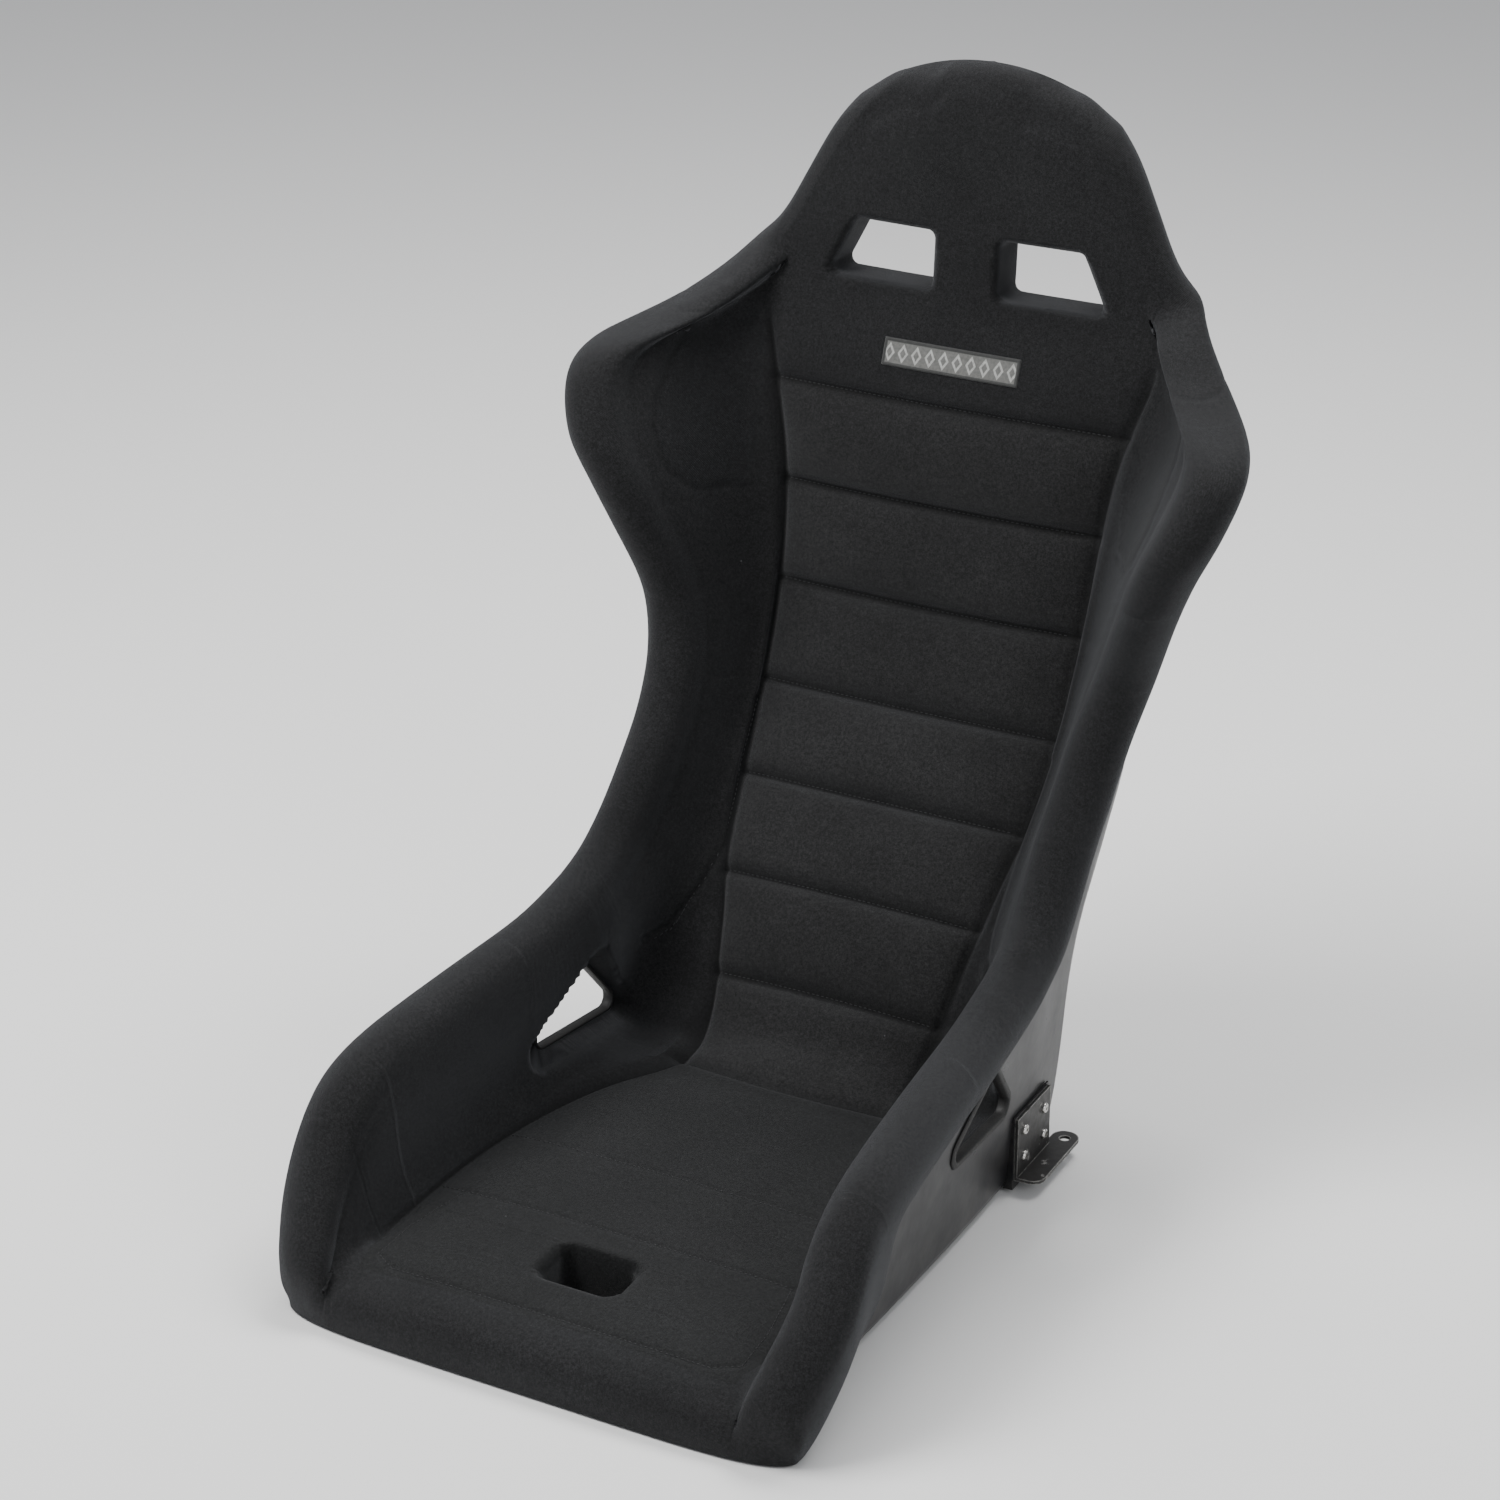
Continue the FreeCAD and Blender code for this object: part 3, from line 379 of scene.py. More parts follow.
# ---------------------------------------------------------------- puffed pads
def seam_mask():
    """Points that the sewing holds down."""
    held = np.zeros((ROWS, COLS), bool)
    held[:, COL_GRID[0] == CENTRE] = True
    held[:, [0, -1]] = True
    held[[0, -1], :] = True
    for place in CHANNELS + [float(HIP)]:
        held[row_at(place)] |= IN_CENTRE[0]
    free = (PLACE_GRID > NOTCH - 0.4) | (PLACE_GRID < 1.0)
    held &= ~(free & (COL_GRID == CENTRE))
    held[[0, -1], :] = True
    return held


HELD = seam_mask()


def puff_height():
    """How far each part of the cover may stand proud of the seams, in millimetres."""
    high = np.full((ROWS, COLS), 3.0)
    high[IN_CENTRE & (PLACE_GRID > HIP)] = 12.5
    high[IN_CENTRE & (PLACE_GRID < HIP)] = 3.5
    high[PLACE_GRID < FRONT_SEAM] = 2.5
    high[PLACE_GRID > CHANNELS[-1]] = 3.0
    high[COL_GRID > CENTRE + SIDE] = 1.5
    high[COL_GRID > CENTRE + SIDE + ROLL] = 0.5
    for _ in range(12):
        high[1:-1, 1:-1] = neighbour_mean(high)
    return high


def membrane():
    """Height of an inflated skin held down at the seams, from 0 to 1 in each pad."""
    rise = np.zeros((ROWS, COLS))
    for _ in range(260):
        rise[1:-1, 1:-1] = neighbour_mean(rise) + 1
        rise[HELD] = 0
    return 2 * rise / (rise + 300)


def to_frame(points):
    """Drawing millimetres to frame metres; nothing sinks into what the seat stands on."""
    moved = (np.asarray(points, float) + [0, DATUM, 0]) / 1000
    moved[:, 2] = np.maximum(moved[:, 2], 0)
    return moved


def new_object(name, verts, faces):
    mesh = bpy.data.meshes.new(name)
    mesh.from_pydata([tuple(v) for v in verts], [], faces)
    mesh.update()
    piece = bpy.data.objects.new(name, mesh)
    bpy.context.scene.collection.objects.link(piece)
    mesh.polygons.foreach_set("use_smooth", [True] * len(mesh.polygons))
    return piece


def grid_faces(rows, cols):
    """Quads of a grid of points."""
    corner = (np.arange(rows - 1)[:, None] * cols + np.arange(cols - 1)).ravel()
    return [(int(a), int(a + 1), int(a + cols + 1), int(a + cols)) for a in corner]


SIM_STEP, SIM_FRAMES = 3, 20


def simulated():
    """How far cloth pinned along the seams rises under air pressure, in millimetres."""
    rows = np.array(sorted({*range(0, ROWS, SIM_STEP), ROWS - 1, *np.nonzero(HELD[:, MID])[0]}))
    cols = np.array(sorted({*range(0, COLS, SIM_STEP), COLS - 1, MID - CENTRE, MID + CENTRE}))
    pick = np.ix_(rows, cols)
    rest = SKIN[pick]
    sheet = new_object("pressure_sheet", to_frame(rest.reshape(-1, 3)), grid_faces(len(rows), len(cols)))
    pins = sheet.vertex_groups.new(name="sewn")
    pins.add([int(i) for i in np.nonzero(HELD[pick].ravel())[0]], 1.0, "REPLACE")
    solver = sheet.modifiers.new("cloth", "CLOTH")
    solver.settings.quality = 6
    solver.settings.vertex_group_mass = "sewn"
    solver.settings.use_pressure = True
    solver.settings.uniform_pressure_force = 4
    solver.settings.effector_weights.gravity = 0
    solver.point_cache.frame_start, solver.point_cache.frame_end = 1, SIM_FRAMES
    for frame_number in range(1, SIM_FRAMES + 1):
        bpy.context.scene.frame_set(frame_number)
    solved = sheet.evaluated_get(bpy.context.evaluated_depsgraph_get()).to_mesh()
    spots = np.empty(len(solved.vertices) * 3)
    solved.vertices.foreach_get("co", spots)
    bpy.data.objects.remove(sheet, do_unlink=True)
    bpy.context.scene.frame_set(1)
    moved = spots.reshape(rest.shape) * 1000 - [0, DATUM, 0] - rest
    rise = np.maximum((moved * NORMAL[pick]).sum(axis=2), 0)
    rise = np.array([np.interp(np.arange(COLS), cols, line) for line in rise])
    rise = np.array([np.interp(np.arange(ROWS), rows, line) for line in rise.T]).T
    return relax(rise[..., None], np.where(HELD, 0, 1.0), 8)[..., 0]


# The simulation gives the puff its slack and the membrane keeps it even; the cap is puff_height.
SIM_SHARE = 0.55
HEIGHT = puff_height()
puff = membrane()
puff = (1 - SIM_SHARE) * puff + SIM_SHARE * np.tanh(3 * simulated() / HEIGHT)
SKIN = SKIN + NORMAL * (puff * HEIGHT)[..., None]
NORMAL = normals_of(SKIN)


# ---------------------------------------------------------------- sewn lines
def to_line(points, line):
    """Distance from points to a chain of straight runs."""
    best = np.full(points.shape[:-1], 1e9)
    for a, b in zip(line, line[1:]):
        a, b = np.array(a, float), np.array(b, float)
        run = b - a
        t = np.clip(((points - a) @ run) / (run @ run), 0, 1)
        best = np.minimum(best, np.linalg.norm(points - (a + t[..., None] * run), axis=-1))
    return best


# Where painted shade darkens the cloth in the sewn folds, from 0 to 1.
FOLD_SHADE = np.zeros((ROWS, COLS))


def sew(distance, depth, width):
    """Pulls the skin in along a line and remembers where, for painted shade that darkens the cloth in the
    fold.
    """
    global SKIN, FOLD_SHADE
    fold = np.exp(-(distance / width) ** 2)
    SKIN = SKIN - NORMAL * (depth * fold)[..., None]
    FOLD_SHADE = np.maximum(FOLD_SHADE, np.exp(-(distance / (0.6 * width)) ** 2) * np.minimum(depth / 2.2, 1))


def sew_along(line, depth, width, region):
    """Sews the skin of a region down along a chain of points."""
    distance = np.full((ROWS, COLS), 1e9)
    low, high = np.min(line, axis=0) - 15, np.max(line, axis=0) + 15
    near = region & np.all((SKIN > low) & (SKIN < high), axis=-1)
    distance[near] = to_line(SKIN[near], line)
    sew(distance, depth, width)


everywhere = np.ones((ROWS, COLS), bool)
first_row, notch_row = row_at(0.4), row_at(NOTCH)
valley_depth = 2.6 * smoothstep((PLACE_GRID - 0.7) / 1.2) * (1 - smoothstep((PLACE_GRID - NOTCH + 1.1) / 0.7))
for side in (-1, 1):
    column = MID + side * CENTRE
    sew_along(SKIN[first_row:notch_row + 1:3, column].copy(), valley_depth, 3.2, everywhere)
    over = slice(MID + CENTRE, COLS, 2) if side > 0 else slice(0, MID - CENTRE + 1, 2)
    sew_along(SKIN[notch_row, over].copy(), 0.5, 1.8, everywhere)
centre_columns = slice(MID - CENTRE, MID + CENTRE + 1, 4)
for place, depth in [(HIP, 3.2)] + [(place, 3.2) for place in CHANNELS[:-1]] + [(CHANNELS[-1], 2.4)]:
    sew_along(SKIN[row_at(place), centre_columns].copy(), depth, 4.6, IN_CENTRE)


def on_skin(points, region):
    """The skin's own points nearest to a list of points."""
    flat = SKIN[region]
    return [flat[np.argmin(((flat - np.array(point)) ** 2).sum(axis=1))] for point in points]


cushion = IN_CENTRE & (PLACE_GRID < HIP)
CUSHION_LINES = (
    ((-166, -83, 62), (-60, -84, 64), (60, -84, 64), (166, -83, 62)),
    ((-168, -172, 56), (-60, -173, 60), (60, -173, 60), (168, -172, 56)),
    ((-140, -283, 46), (-48, -285, 48), (48, -285, 48), (140, -283, 46), (160, -272, 48), (158, -230, 50),
     (150, -190, 54), (146, -172, 56)),
    ((-140, -283, 46), (-160, -272, 48), (-158, -230, 50), (-150, -190, 54), (-146, -172, 56)),
)
for line in CUSHION_LINES:
    sew_along(line, 1.0, 2.2, cushion)

torso = (COL_GRID > CENTRE) & (COL_GRID < CENTRE + SIDE) & (PLACE_GRID > 5) & (PLACE_GRID < 13)
STRIP = ((134, 272, 312), (134, 236, 262), (137, 206, 198), (140, 178, 176), (141, 136, 152), (142, 116, 141))
for side in (-1, 1):
    line = on_skin([(side * x, y, z) for x, y, z in STRIP], torso)
    sew_along(line, 1.8, 2.6, torso)

NORMAL = normals_of(SKIN)


# ---------------------------------------------------------------- openings and inset panels
def sense_of(outline):
    """1 for an outline that runs anticlockwise, -1 for the other way."""
    pairs = zip(outline[-1:] + outline[:-1], outline)
    return 1 if sum(a[0] * b[1] - b[0] * a[1] for a, b in pairs) > 0 else -1


def outward(a, b, sense):
    """Direction out of an outline across its side from a to b."""
    return sense * np.array([b[1] - a[1], a[0] - b[0]]) / np.linalg.norm(b - a)


def grown(outline, margin):
    """A convex outline with every side moved outwards by the margin."""
    points = [np.array(point, float) for point in outline]
    sense = sense_of(points)
    result = []
    for a, b, c in zip(points[-1:] + points[:-1], points, points[1:] + points[:1]):
        first, second = outward(a, b, sense), outward(b, c, sense)
        result.append(b + (first + second) * margin / (1 + first @ second))
    return result


def signed(points, outline, rounding):
    """Signed distance from 2-D points to a rounded convex outline, negative inside."""
    core = grown(outline, -rounding)
    sense = sense_of(core)
    inside = np.ones(points.shape[:-1], bool)
    for a, b in zip(core, core[1:] + core[:1]):
        run, offset = b - a, points - a
        inside &= sense * (run[0] * offset[..., 1] - run[1] * offset[..., 0]) > 0
    distance = to_line(points, core + core[:1])
    return np.where(inside, -distance, distance) - rounding


# The openings: the two axes each is drawn on, its outline and corner rounding, the part of the skin it is
# in, the way through, the depth of its wall, and the radius in which the cover turns over its edge.
Opening = namedtuple("Opening", "axes outline rounding region inward depth turn")
SLOT = ((30, 660), (126, 660), (102, 708), (30, 708))
LAP = ((-24, 92), (112, 86), (67, 141))
LAP_ROUND = 8
LAP_MOUTH = ((-54, 84), (124, 75), (66, 160))
CROTCH = ((-33, -246), (33, -246), (33, -204), (-33, -204))
head = (PLACE_GRID > 18.5) & (PLACE_GRID < 22.5) & (COL_GRID < CENTRE + SIDE)
hips = (PLACE_GRID > 2.5) & (PLACE_GRID < 9) & (COL_GRID > CENTRE) & (COL_GRID < CENTRE + SIDE + ROLL // 2)
floor_pad = IN_CENTRE & (PLACE_GRID < 3.5)
back_way = np.array([0, 1.0, 0.0])
LEFT_SLOT = tuple((-x, z) for x, z in SLOT)
OPENINGS = (
    Opening((0, 2), SLOT, 7, head & (SKIN[..., 0] > 0), back_way, 30, 5.0),
    Opening((0, 2), LEFT_SLOT, 7, head & (SKIN[..., 0] < 0), back_way, 30, 5.0),
    Opening((1, 2), LAP_MOUTH, 13, hips & (SKIN[..., 0] > 0), np.array([1.0, 0, 0]), 1, 6.0),
    Opening((1, 2), LAP_MOUTH, 13, hips & (SKIN[..., 0] < 0), np.array([-1.0, 0, 0]), 1, 6.0),
    Opening((0, 1), CROTCH, 10, floor_pad, np.array([0, 0, -1.0]), 48, 7.0),
)
GONE = np.zeros((ROWS, COLS), bool)
LIP = np.full((ROWS, COLS), -1)


def gradient_of(field, points):
    """Slope of a 2-D distance field at some points."""
    step = 0.05
    return np.stack([
        field(points + [step, 0]) - field(points - [step, 0]),
        field(points + [0, step]) - field(points - [0, step]),
    ], axis=1) / (2 * step)


def beside(mask):
    """Points that have a marked point among their eight neighbours."""
    wide = mask.copy()
    wide[1:] |= mask[:-1]
    wide[:-1] |= mask[1:]
    tall = wide.copy()
    tall[:, 1:] |= wide[:, :-1]
    tall[:, :-1] |= wide[:, 1:]
    return tall & ~mask


ROUNDED = []                    # (points, share of the turn, way into the opening) for the normals


def open_up():
    """Draws the cover up to every opening, rounds it over the edge, and marks what is cut away."""
    global SKIN
    lie = normals_of(SKIN)
    for index, hole in enumerate(OPENINGS):
        def measure(points, hole=hole):
            return signed(points, hole.outline, hole.rounding)

        axes = list(hole.axes)
        distance = np.full((ROWS, COLS), 1e9)
        distance[hole.region] = measure(SKIN[hole.region][:, axes])
        inside = distance < 0
        edge = beside(inside) & hole.region
        around = hole.region & ~inside & (distance < 26)
        gap = distance[around]
        slope = gradient_of(measure, SKIN[around][:, axes])
        pulled = 3.6 * gap / (gap + 4) * (1 - smoothstep((gap - 6) / 20))
        target = np.where(edge[around], 0, gap - pulled)
        moved = SKIN[around]
        shift = -slope * (gap - target)[:, None]
        moved[:, axes] += shift
        depth, steep = 3 - sum(axes), lie[around]
        facing = np.where(steep[:, depth] < 0, -1, 1) * np.maximum(np.abs(steep[:, depth]), 0.35)
        moved[:, depth] -= np.clip((steep[:, axes] * shift).sum(axis=1) / facing, -4, 4)
        rim = np.nonzero(edge[around])[0]
        centre = np.mean(hole.outline, axis=0)
        ring = rim[np.argsort(np.arctan2(*(moved[rim][:, axes] - centre).T))]
        for _ in range(12):
            level = moved[ring, depth]
            moved[ring, depth] = 0.5 * level + 0.25 * (np.roll(level, 1) + np.roll(level, -1))
        share = np.clip(1 - target / hole.turn, 0, 1)
        moved += hole.inward * (hole.turn * (1 - np.sqrt(np.maximum(1 - share ** 2, 0))))[:, None]
        SKIN[around] = moved
        SKIN[inside] += hole.inward * hole.turn
        into = np.zeros_like(moved)
        into[:, axes] = -slope
        ROUNDED.append((around, share, into))
        LIP[edge] = index
        GONE[inside] = True


open_up()

# The flat panel on the inner face of each shoulder wing, as x and z.
INSET = ((184, 640), (208, 652), (222, 620), (229, 590), (228, 562), (222, 535), (210, 508), (194, 488),
         (170, 484), (163, 530), (170, 590))


def in_outline(points, outline):
    """Which 2-D points an outline of any shape holds."""
    inside = np.zeros(points.shape[:-1], bool)
    for a, b in zip(outline, outline[1:] + outline[:1]):
        crosses = (a[1] > points[..., 1]) != (b[1] > points[..., 1])
        at = (b[0] - a[0]) * (points[..., 1] - a[1]) / (b[1] - a[1] + 1e-12) + a[0]
        inside ^= crosses & (points[..., 0] < at)
    return inside


wing = (COL_GRID > CENTRE) & (COL_GRID < CENTRE + SIDE + 2) & (PLACE_GRID > 14) & (PLACE_GRID < NOTCH - 0.05)
INSET_FACE = wing & in_outline(np.stack([np.abs(SKIN[..., 0]), SKIN[..., 2]], axis=-1), INSET)
for side in (-1, 1):
    ring = [(side * x, z) for x, z in INSET[1:-2]]
    reachable = wing & (side * SKIN[..., 0] > 0)
    gap = np.full((ROWS, COLS), 1e9)
    gap[reachable] = to_line(SKIN[reachable][:, [0, 2]], ring)
    sew(gap, 1.1, 2.2)
NORMAL = normals_of(SKIN)
for around, share, into in ROUNDED:
    turned = NORMAL[around] * np.sqrt(np.maximum(1 - share ** 2, 0))[:, None] + into * share[:, None]
    NORMAL[around] = turned / np.maximum(np.linalg.norm(turned, axis=1), 1e-6)[:, None]


# ---------------------------------------------------------------- pieces of the cover
def arclength(axis):
    """Distance travelled over the skin along rows or columns, which the weave follows."""
    step = np.linalg.norm(np.diff(SKIN, axis=axis), axis=2)
    shape = (1, COLS) if axis == 0 else (ROWS, 1)
    return np.concatenate([np.zeros(shape), np.cumsum(step, axis=axis)], axis=axis)


ALONG = arclength(0)[:, MID][:, None].repeat(COLS, axis=1)
ACROSS = arclength(1)
ACROSS = ACROSS - ACROSS[:, MID][:, None]


def lay_cloth(mesh, flat):
    """The map the weave follows, from each point's millimetres along the cloth."""
    order = np.empty(len(mesh.loops), dtype=int)
    mesh.loops.foreach_get("vertex_index", order)
    layer = mesh.uv_layers.new(name="cloth")
    layer.data.foreach_set("uv", (np.array(flat)[order] / 1000).ravel())


def cover(name, wanted, thick=3.0):
    """A closed piece of the cover: the skin over the wanted faces, its inside, and a hem all round."""
    keep = wanted & ~(GONE[:-1, :-1] | GONE[1:, :-1] | GONE[:-1, 1:] | GONE[1:, 1:])
    rows, cols = np.nonzero(keep)
    corners = [(rows, cols), (rows, cols + 1), (rows + 1, cols + 1), (rows + 1, cols)]
    index = np.full((ROWS, COLS), -1)
    used = np.zeros((ROWS, COLS), bool)
    for r, c in corners:
        used[r, c] = True
    index[used] = np.arange(used.sum())
    quads = np.stack([index[r, c] for r, c in corners], axis=1)
    outer = SKIN[used]
    normal = NORMAL[used]
    lip = LIP[used]
    inner = outer - normal * thick
    for index, hole in enumerate(OPENINGS):
        inner[lip == index] += hole.inward * thick
    inner[:, 2] = np.maximum(inner[:, 2], 0.8)
    count = len(outer)
    faces = [tuple(int(v) for v in quad) for quad in quads]
    edges = {}
    for quad in faces:
        for a, b in zip(quad, quad[1:] + quad[:1]):
            edges[(a, b)] = edges.get((a, b), 0) + 1
    border = [(a, b) for a, b in edges if (b, a) not in edges]
    verts = list(outer) + list(inner)
    smooth = list(normal) + list(-normal)
    uvs = list(np.stack([ACROSS[used], ALONG[used]], axis=1)) * 2
    # How much painted shade darkens each point: the sewn folds here, and the openings' walls below.
    sewn = list(FOLD_SHADE[used]) * 2
    all_faces = faces + [tuple(count + v for v in reversed(quad)) for quad in faces]
    rings = {}

    def lip_vertex(v, level):
        """The point on an opening's wall below a border point."""
        if (v, level) not in rings:
            hole = OPENINGS[lip[v]]
            rings[(v, level)] = len(verts)
            way = hole.inward * hole.depth
            if hole.outline is LAP_MOUTH:
                way = to_lap_trim(outer[v])
            verts.append(outer[v] + way * level / LIP_STEPS)
            flat = normal[v] - hole.inward * (normal[v] @ hole.inward) * 0.98
            smooth.append(flat / max(np.linalg.norm(flat), 1e-6))
            uvs.append(uvs[v] + np.array([0, hole.depth * level / LIP_STEPS]))
            # Painted shade on the opening's wall.
            sewn.append(0.35)
        return rings[(v, level)]

    for a, b in border:
        hole = lip[a] if lip[a] == lip[b] else -1
        if hole >= 0 and OPENINGS[hole].depth:
            chain = [(a, b)] + [(lip_vertex(a, k), lip_vertex(b, k)) for k in range(1, LIP_STEPS + 1)]
            for (p, q), (s, t) in zip(chain, chain[1:]):
                all_faces.append((q, p, s, t))
            p, q = chain[-1]
            all_faces.append((q, p, count + a, count + b))
        else:
            all_faces.append((b, a, count + a, count + b))
    piece = new_object(name, to_frame(verts), all_faces)
    mesh = piece.data
    lay_cloth(mesh, uvs)
    mark = mesh.attributes.new("sewn", "FLOAT", "POINT")
    mark.data.foreach_set("value", np.array(sewn, dtype=float))
    mesh.normals_split_custom_set_from_vertices([tuple(n) for n in smooth])
    return piece


LIP_STEPS = 4
# The lap openings' lining ends this far outside the hole's outline, and this far short of the shell.
ROUND_HOLE, SHORT_OF_WALL = 1.4, 1.5


def to_lap_trim(point):
    """From the cover's edge to the trim behind it."""
    plane = point[None, 1:]

    def measure(points):
        return signed(points, LAP, LAP_ROUND)

    gap = measure(plane)[0] - ROUND_HOLE
    step = -gradient_of(measure, plane)[0] * gap
    wall = wall_at(point[1] + step[0], point[2] + step[1]) - WALL - SHORT_OF_WALL
    return np.array([math.copysign(wall, point[0]) - point[0], *step])


face_place = 0.5 * (PLACE_GRID[:-1, :-1] + PLACE_GRID[1:, 1:])
face_col = 0.5 * (np.abs(COLUMNS[:-1]) + np.abs(COLUMNS[1:]))[None, :].repeat(ROWS - 1, axis=0)
face_x = 0.5 * (COLUMNS[:-1] + COLUMNS[1:])[None, :].repeat(ROWS - 1, axis=0)
inset_face = INSET_FACE[:-1, :-1] & INSET_FACE[1:, 1:] & INSET_FACE[1:, :-1] & INSET_FACE[:-1, 1:]
in_centre = face_col < CENTRE
seam_places = (FRONT_SEAM, HIP, NOTCH, CHANNELS[-1])
front_seam, hip, notch, top_seam = (ROW_PLACE[row_at(place)] for place in seam_places)
is_front = in_centre & (face_place < front_seam)
is_cushion = in_centre & (face_place > front_seam) & (face_place < hip)
is_back = in_centre & (face_place > hip) & (face_place < top_seam)
is_head = (in_centre & (face_place > top_seam)) | (face_place > notch)
is_bolster = ~in_centre & (face_place < notch)

# Each cover: its faces, its cloth and material slot, and the CAD nodes it stands for.
COVERS = {
    "front_cover": (is_front, "bolster", "bolster_fabric", ("front_roll",)),
    "cushion_cover": (is_cushion, "plain", "cushion_fabric", ("seat_cushion", "crotch_trim")),
    "back_cover": (is_back, "back", "channel_fabric", ("back_insert",)),
    "head_cover": (is_head, "bolster", "bolster_fabric",
                   ("head_pad", "neck_pad", "crown_roll", "harness_trim_right", "harness_trim_left")),
}
for side, word in ((1, "right"), (-1, "left")):
    mine = is_bolster & (side * face_x > 0)
    pads = ("thigh_bolster_" + word, "torso_bolster_" + word, "shoulder_pad_" + word)
    COVERS["bolster_cover_" + word] = (mine & ~inset_face, "bolster", "bolster_fabric", pads)
    panel = ("shoulder_panel_" + word,)
    COVERS["shoulder_inset_" + word] = (mine & inset_face, "inset", "panel_fabric", panel)
pieces = {name: cover(name, faces) for name, (faces, *_) in COVERS.items()}
for name, (*_, nodes) in COVERS.items():
    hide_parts(*nodes)


# ---------------------------------------------------------------- thread, patch and lap-opening edges
def settle(points, region):
    """Points of a line laid onto the skin, and the skin's normals there."""
    flat, normals = SKIN[region], NORMAL[region]
    nearest = [int(np.argmin(((flat - point) ** 2).sum(axis=1))) for point in points]
    way = normals[nearest]
    lift = ((flat[nearest] - points) * way).sum(axis=1)
    return points + way * lift[:, None], way


def evenly(line, step):
    """Points at an even step along a chain of straight runs."""
    line = np.array(line, float)
    travel = np.concatenate([[0], np.cumsum(np.linalg.norm(np.diff(line, axis=0), axis=1))])
    at = np.arange(step / 2, travel[-1], step)
    return np.stack([np.interp(at, travel, line[:, k]) for k in range(3)], axis=1)


STITCH, STITCH_GAP, THREAD, STRIDE = 3.1, 1.3, 0.36, 1.1
# Rings of one stitch: how far along it, how high above the cloth, and how thick.
STITCH_RINGS = ((-0.5, -0.3, 0.3), (-0.38, 0.12, 0.9), (0, 0.3, 1.0), (0.38, 0.12, 0.9), (0.5, -0.3, 0.3))


def stitches(name, runs):
    """Thread along some lines: each run is (points, region of the skin that carries it)."""
    verts, faces = [], []
    for line, region in runs:
        spots, ways = settle(evenly(line, STRIDE), region)
        every = int(round((STITCH + STITCH_GAP) / STRIDE))
        for k in range(1, len(spots) - 1, every):
            along = spots[k + 1] - spots[k - 1]
            along /= max(np.linalg.norm(along), 1e-6)
            across = np.cross(ways[k], along)
            base = len(verts)
            for share, lift, thick in STITCH_RINGS:
                middle = spots[k] + along * share * STITCH + ways[k] * lift
                for turn in range(6):
                    angle = math.radians(60 * turn)
                    round_it = across * math.cos(angle) + ways[k] * math.sin(angle)
                    verts.append(middle + THREAD * thick * round_it)
            for ring in range(4):
                for turn in range(6):
                    a, b = base + 6 * ring + turn, base + 6 * ring + (turn + 1) % 6
                    faces.append((a, b, b + 6, a + 6))
            faces.append(tuple(base + turn for turn in range(5, -1, -1)))
            faces.append(tuple(base + 24 + turn for turn in range(6)))
    return new_object(name, to_frame(verts), faces)


back_region = IN_CENTRE & (PLACE_GRID > HIP - 0.3) & (PLACE_GRID < NOTCH)
runs = [(SKIN[row_at(place), MID - CENTRE + 1:MID + CENTRE:3], back_region) for place in CHANNELS]
runs += [(line, cushion) for line in CUSHION_LINES]
for side in (-1, 1):
    runs.append(([(side * x, y, z) for x, y, z in STRIP], torso & (side * SKIN[..., 0] > 0)))
seam_thread = stitches("seam_thread", runs)

PATCH_HALF, PATCH_LOW, PATCH_HIGH = 62, 598, 620


def skin_at(x, z):
    """A point of the centre pad above the top channel."""
    rows = np.nonzero((ROW_PLACE > CHANNELS[-1] - 0.2) & (ROW_PLACE < NOTCH + 0.5))[0]
    cols = slice(MID - CENTRE, MID + CENTRE + 1)
    ys = [np.interp(x, SKIN[row, cols, 0], SKIN[row, cols, 1]) for row in rows]
    zs = [np.interp(x, SKIN[row, cols, 0], SKIN[row, cols, 2]) for row in rows]
    return np.array([x, np.interp(z, zs, ys), z])


def woven_patch():
    """A sewn-on badge with a raised edge and a plain row of diamonds, no lettering."""
    across = np.linspace(-PATCH_HALF, PATCH_HALF, 125)
    up = np.linspace(PATCH_LOW, PATCH_HIGH, 34)
    front, lift = [], []
    for z in up:
        for x in across:
            rim = min(PATCH_HALF - abs(x), z - PATCH_LOW, PATCH_HIGH - z)
            front.append(skin_at(x, z))
            lift.append(0.75 + 0.55 * math.exp(-((rim - 1.3) / 0.8) ** 2) - 0.9 * math.exp(-rim / 0.25))
    front, lift = np.array(front), np.array(lift)
    face = np.array([0, -0.985, 0.17])
    verts = np.concatenate([front + face * lift[:, None], front - face * 0.6])
    rows, cols = len(up), len(across)
    faces = [quad[::-1] for quad in grid_faces(rows, cols)]
    count = rows * cols
    back = [tuple(count + v for v in reversed(quad)) for quad in faces]
    loop = [*range(cols), *range(2 * cols - 1, count, cols), *range(count - 2, count - cols - 1, -1)]
    loop += list(range(count - 2 * cols, 0, -cols))
    rim_faces = [(a, b, b + count, a + count) for a, b in zip(loop, loop[1:] + loop[:1])]
    made = new_object("badge", to_frame(verts), faces + back + rim_faces)
    lay_cloth(made.data, [(x + PATCH_HALF, z - PATCH_LOW) for z in up for x in across] * 2)
    return made


badge = woven_patch()
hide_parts("label_patch")


def rounded(outline, radius, step=2.5):
    """(core point, outward direction) pairs round a convex outline with rounded corners."""
    core = grown(outline, -radius)
    sense = sense_of(core)
    after = core[1:] + core[:1]
    outs = [outward(a, b, sense) for a, b in zip(core, after)]
    pairs = []
    for a, b, out, following in zip(core, after, outs, outs[1:] + outs[:1]):
        for share in np.linspace(0, 1, int(np.linalg.norm(b - a) / step) + 2):
            pairs.append((a + (b - a) * share, out))
        for share in np.linspace(0, 1, 9)[1:-1]:
            turned = out * (1 - share) + following * share
            pairs.append((b, turned / np.linalg.norm(turned)))
    return pairs


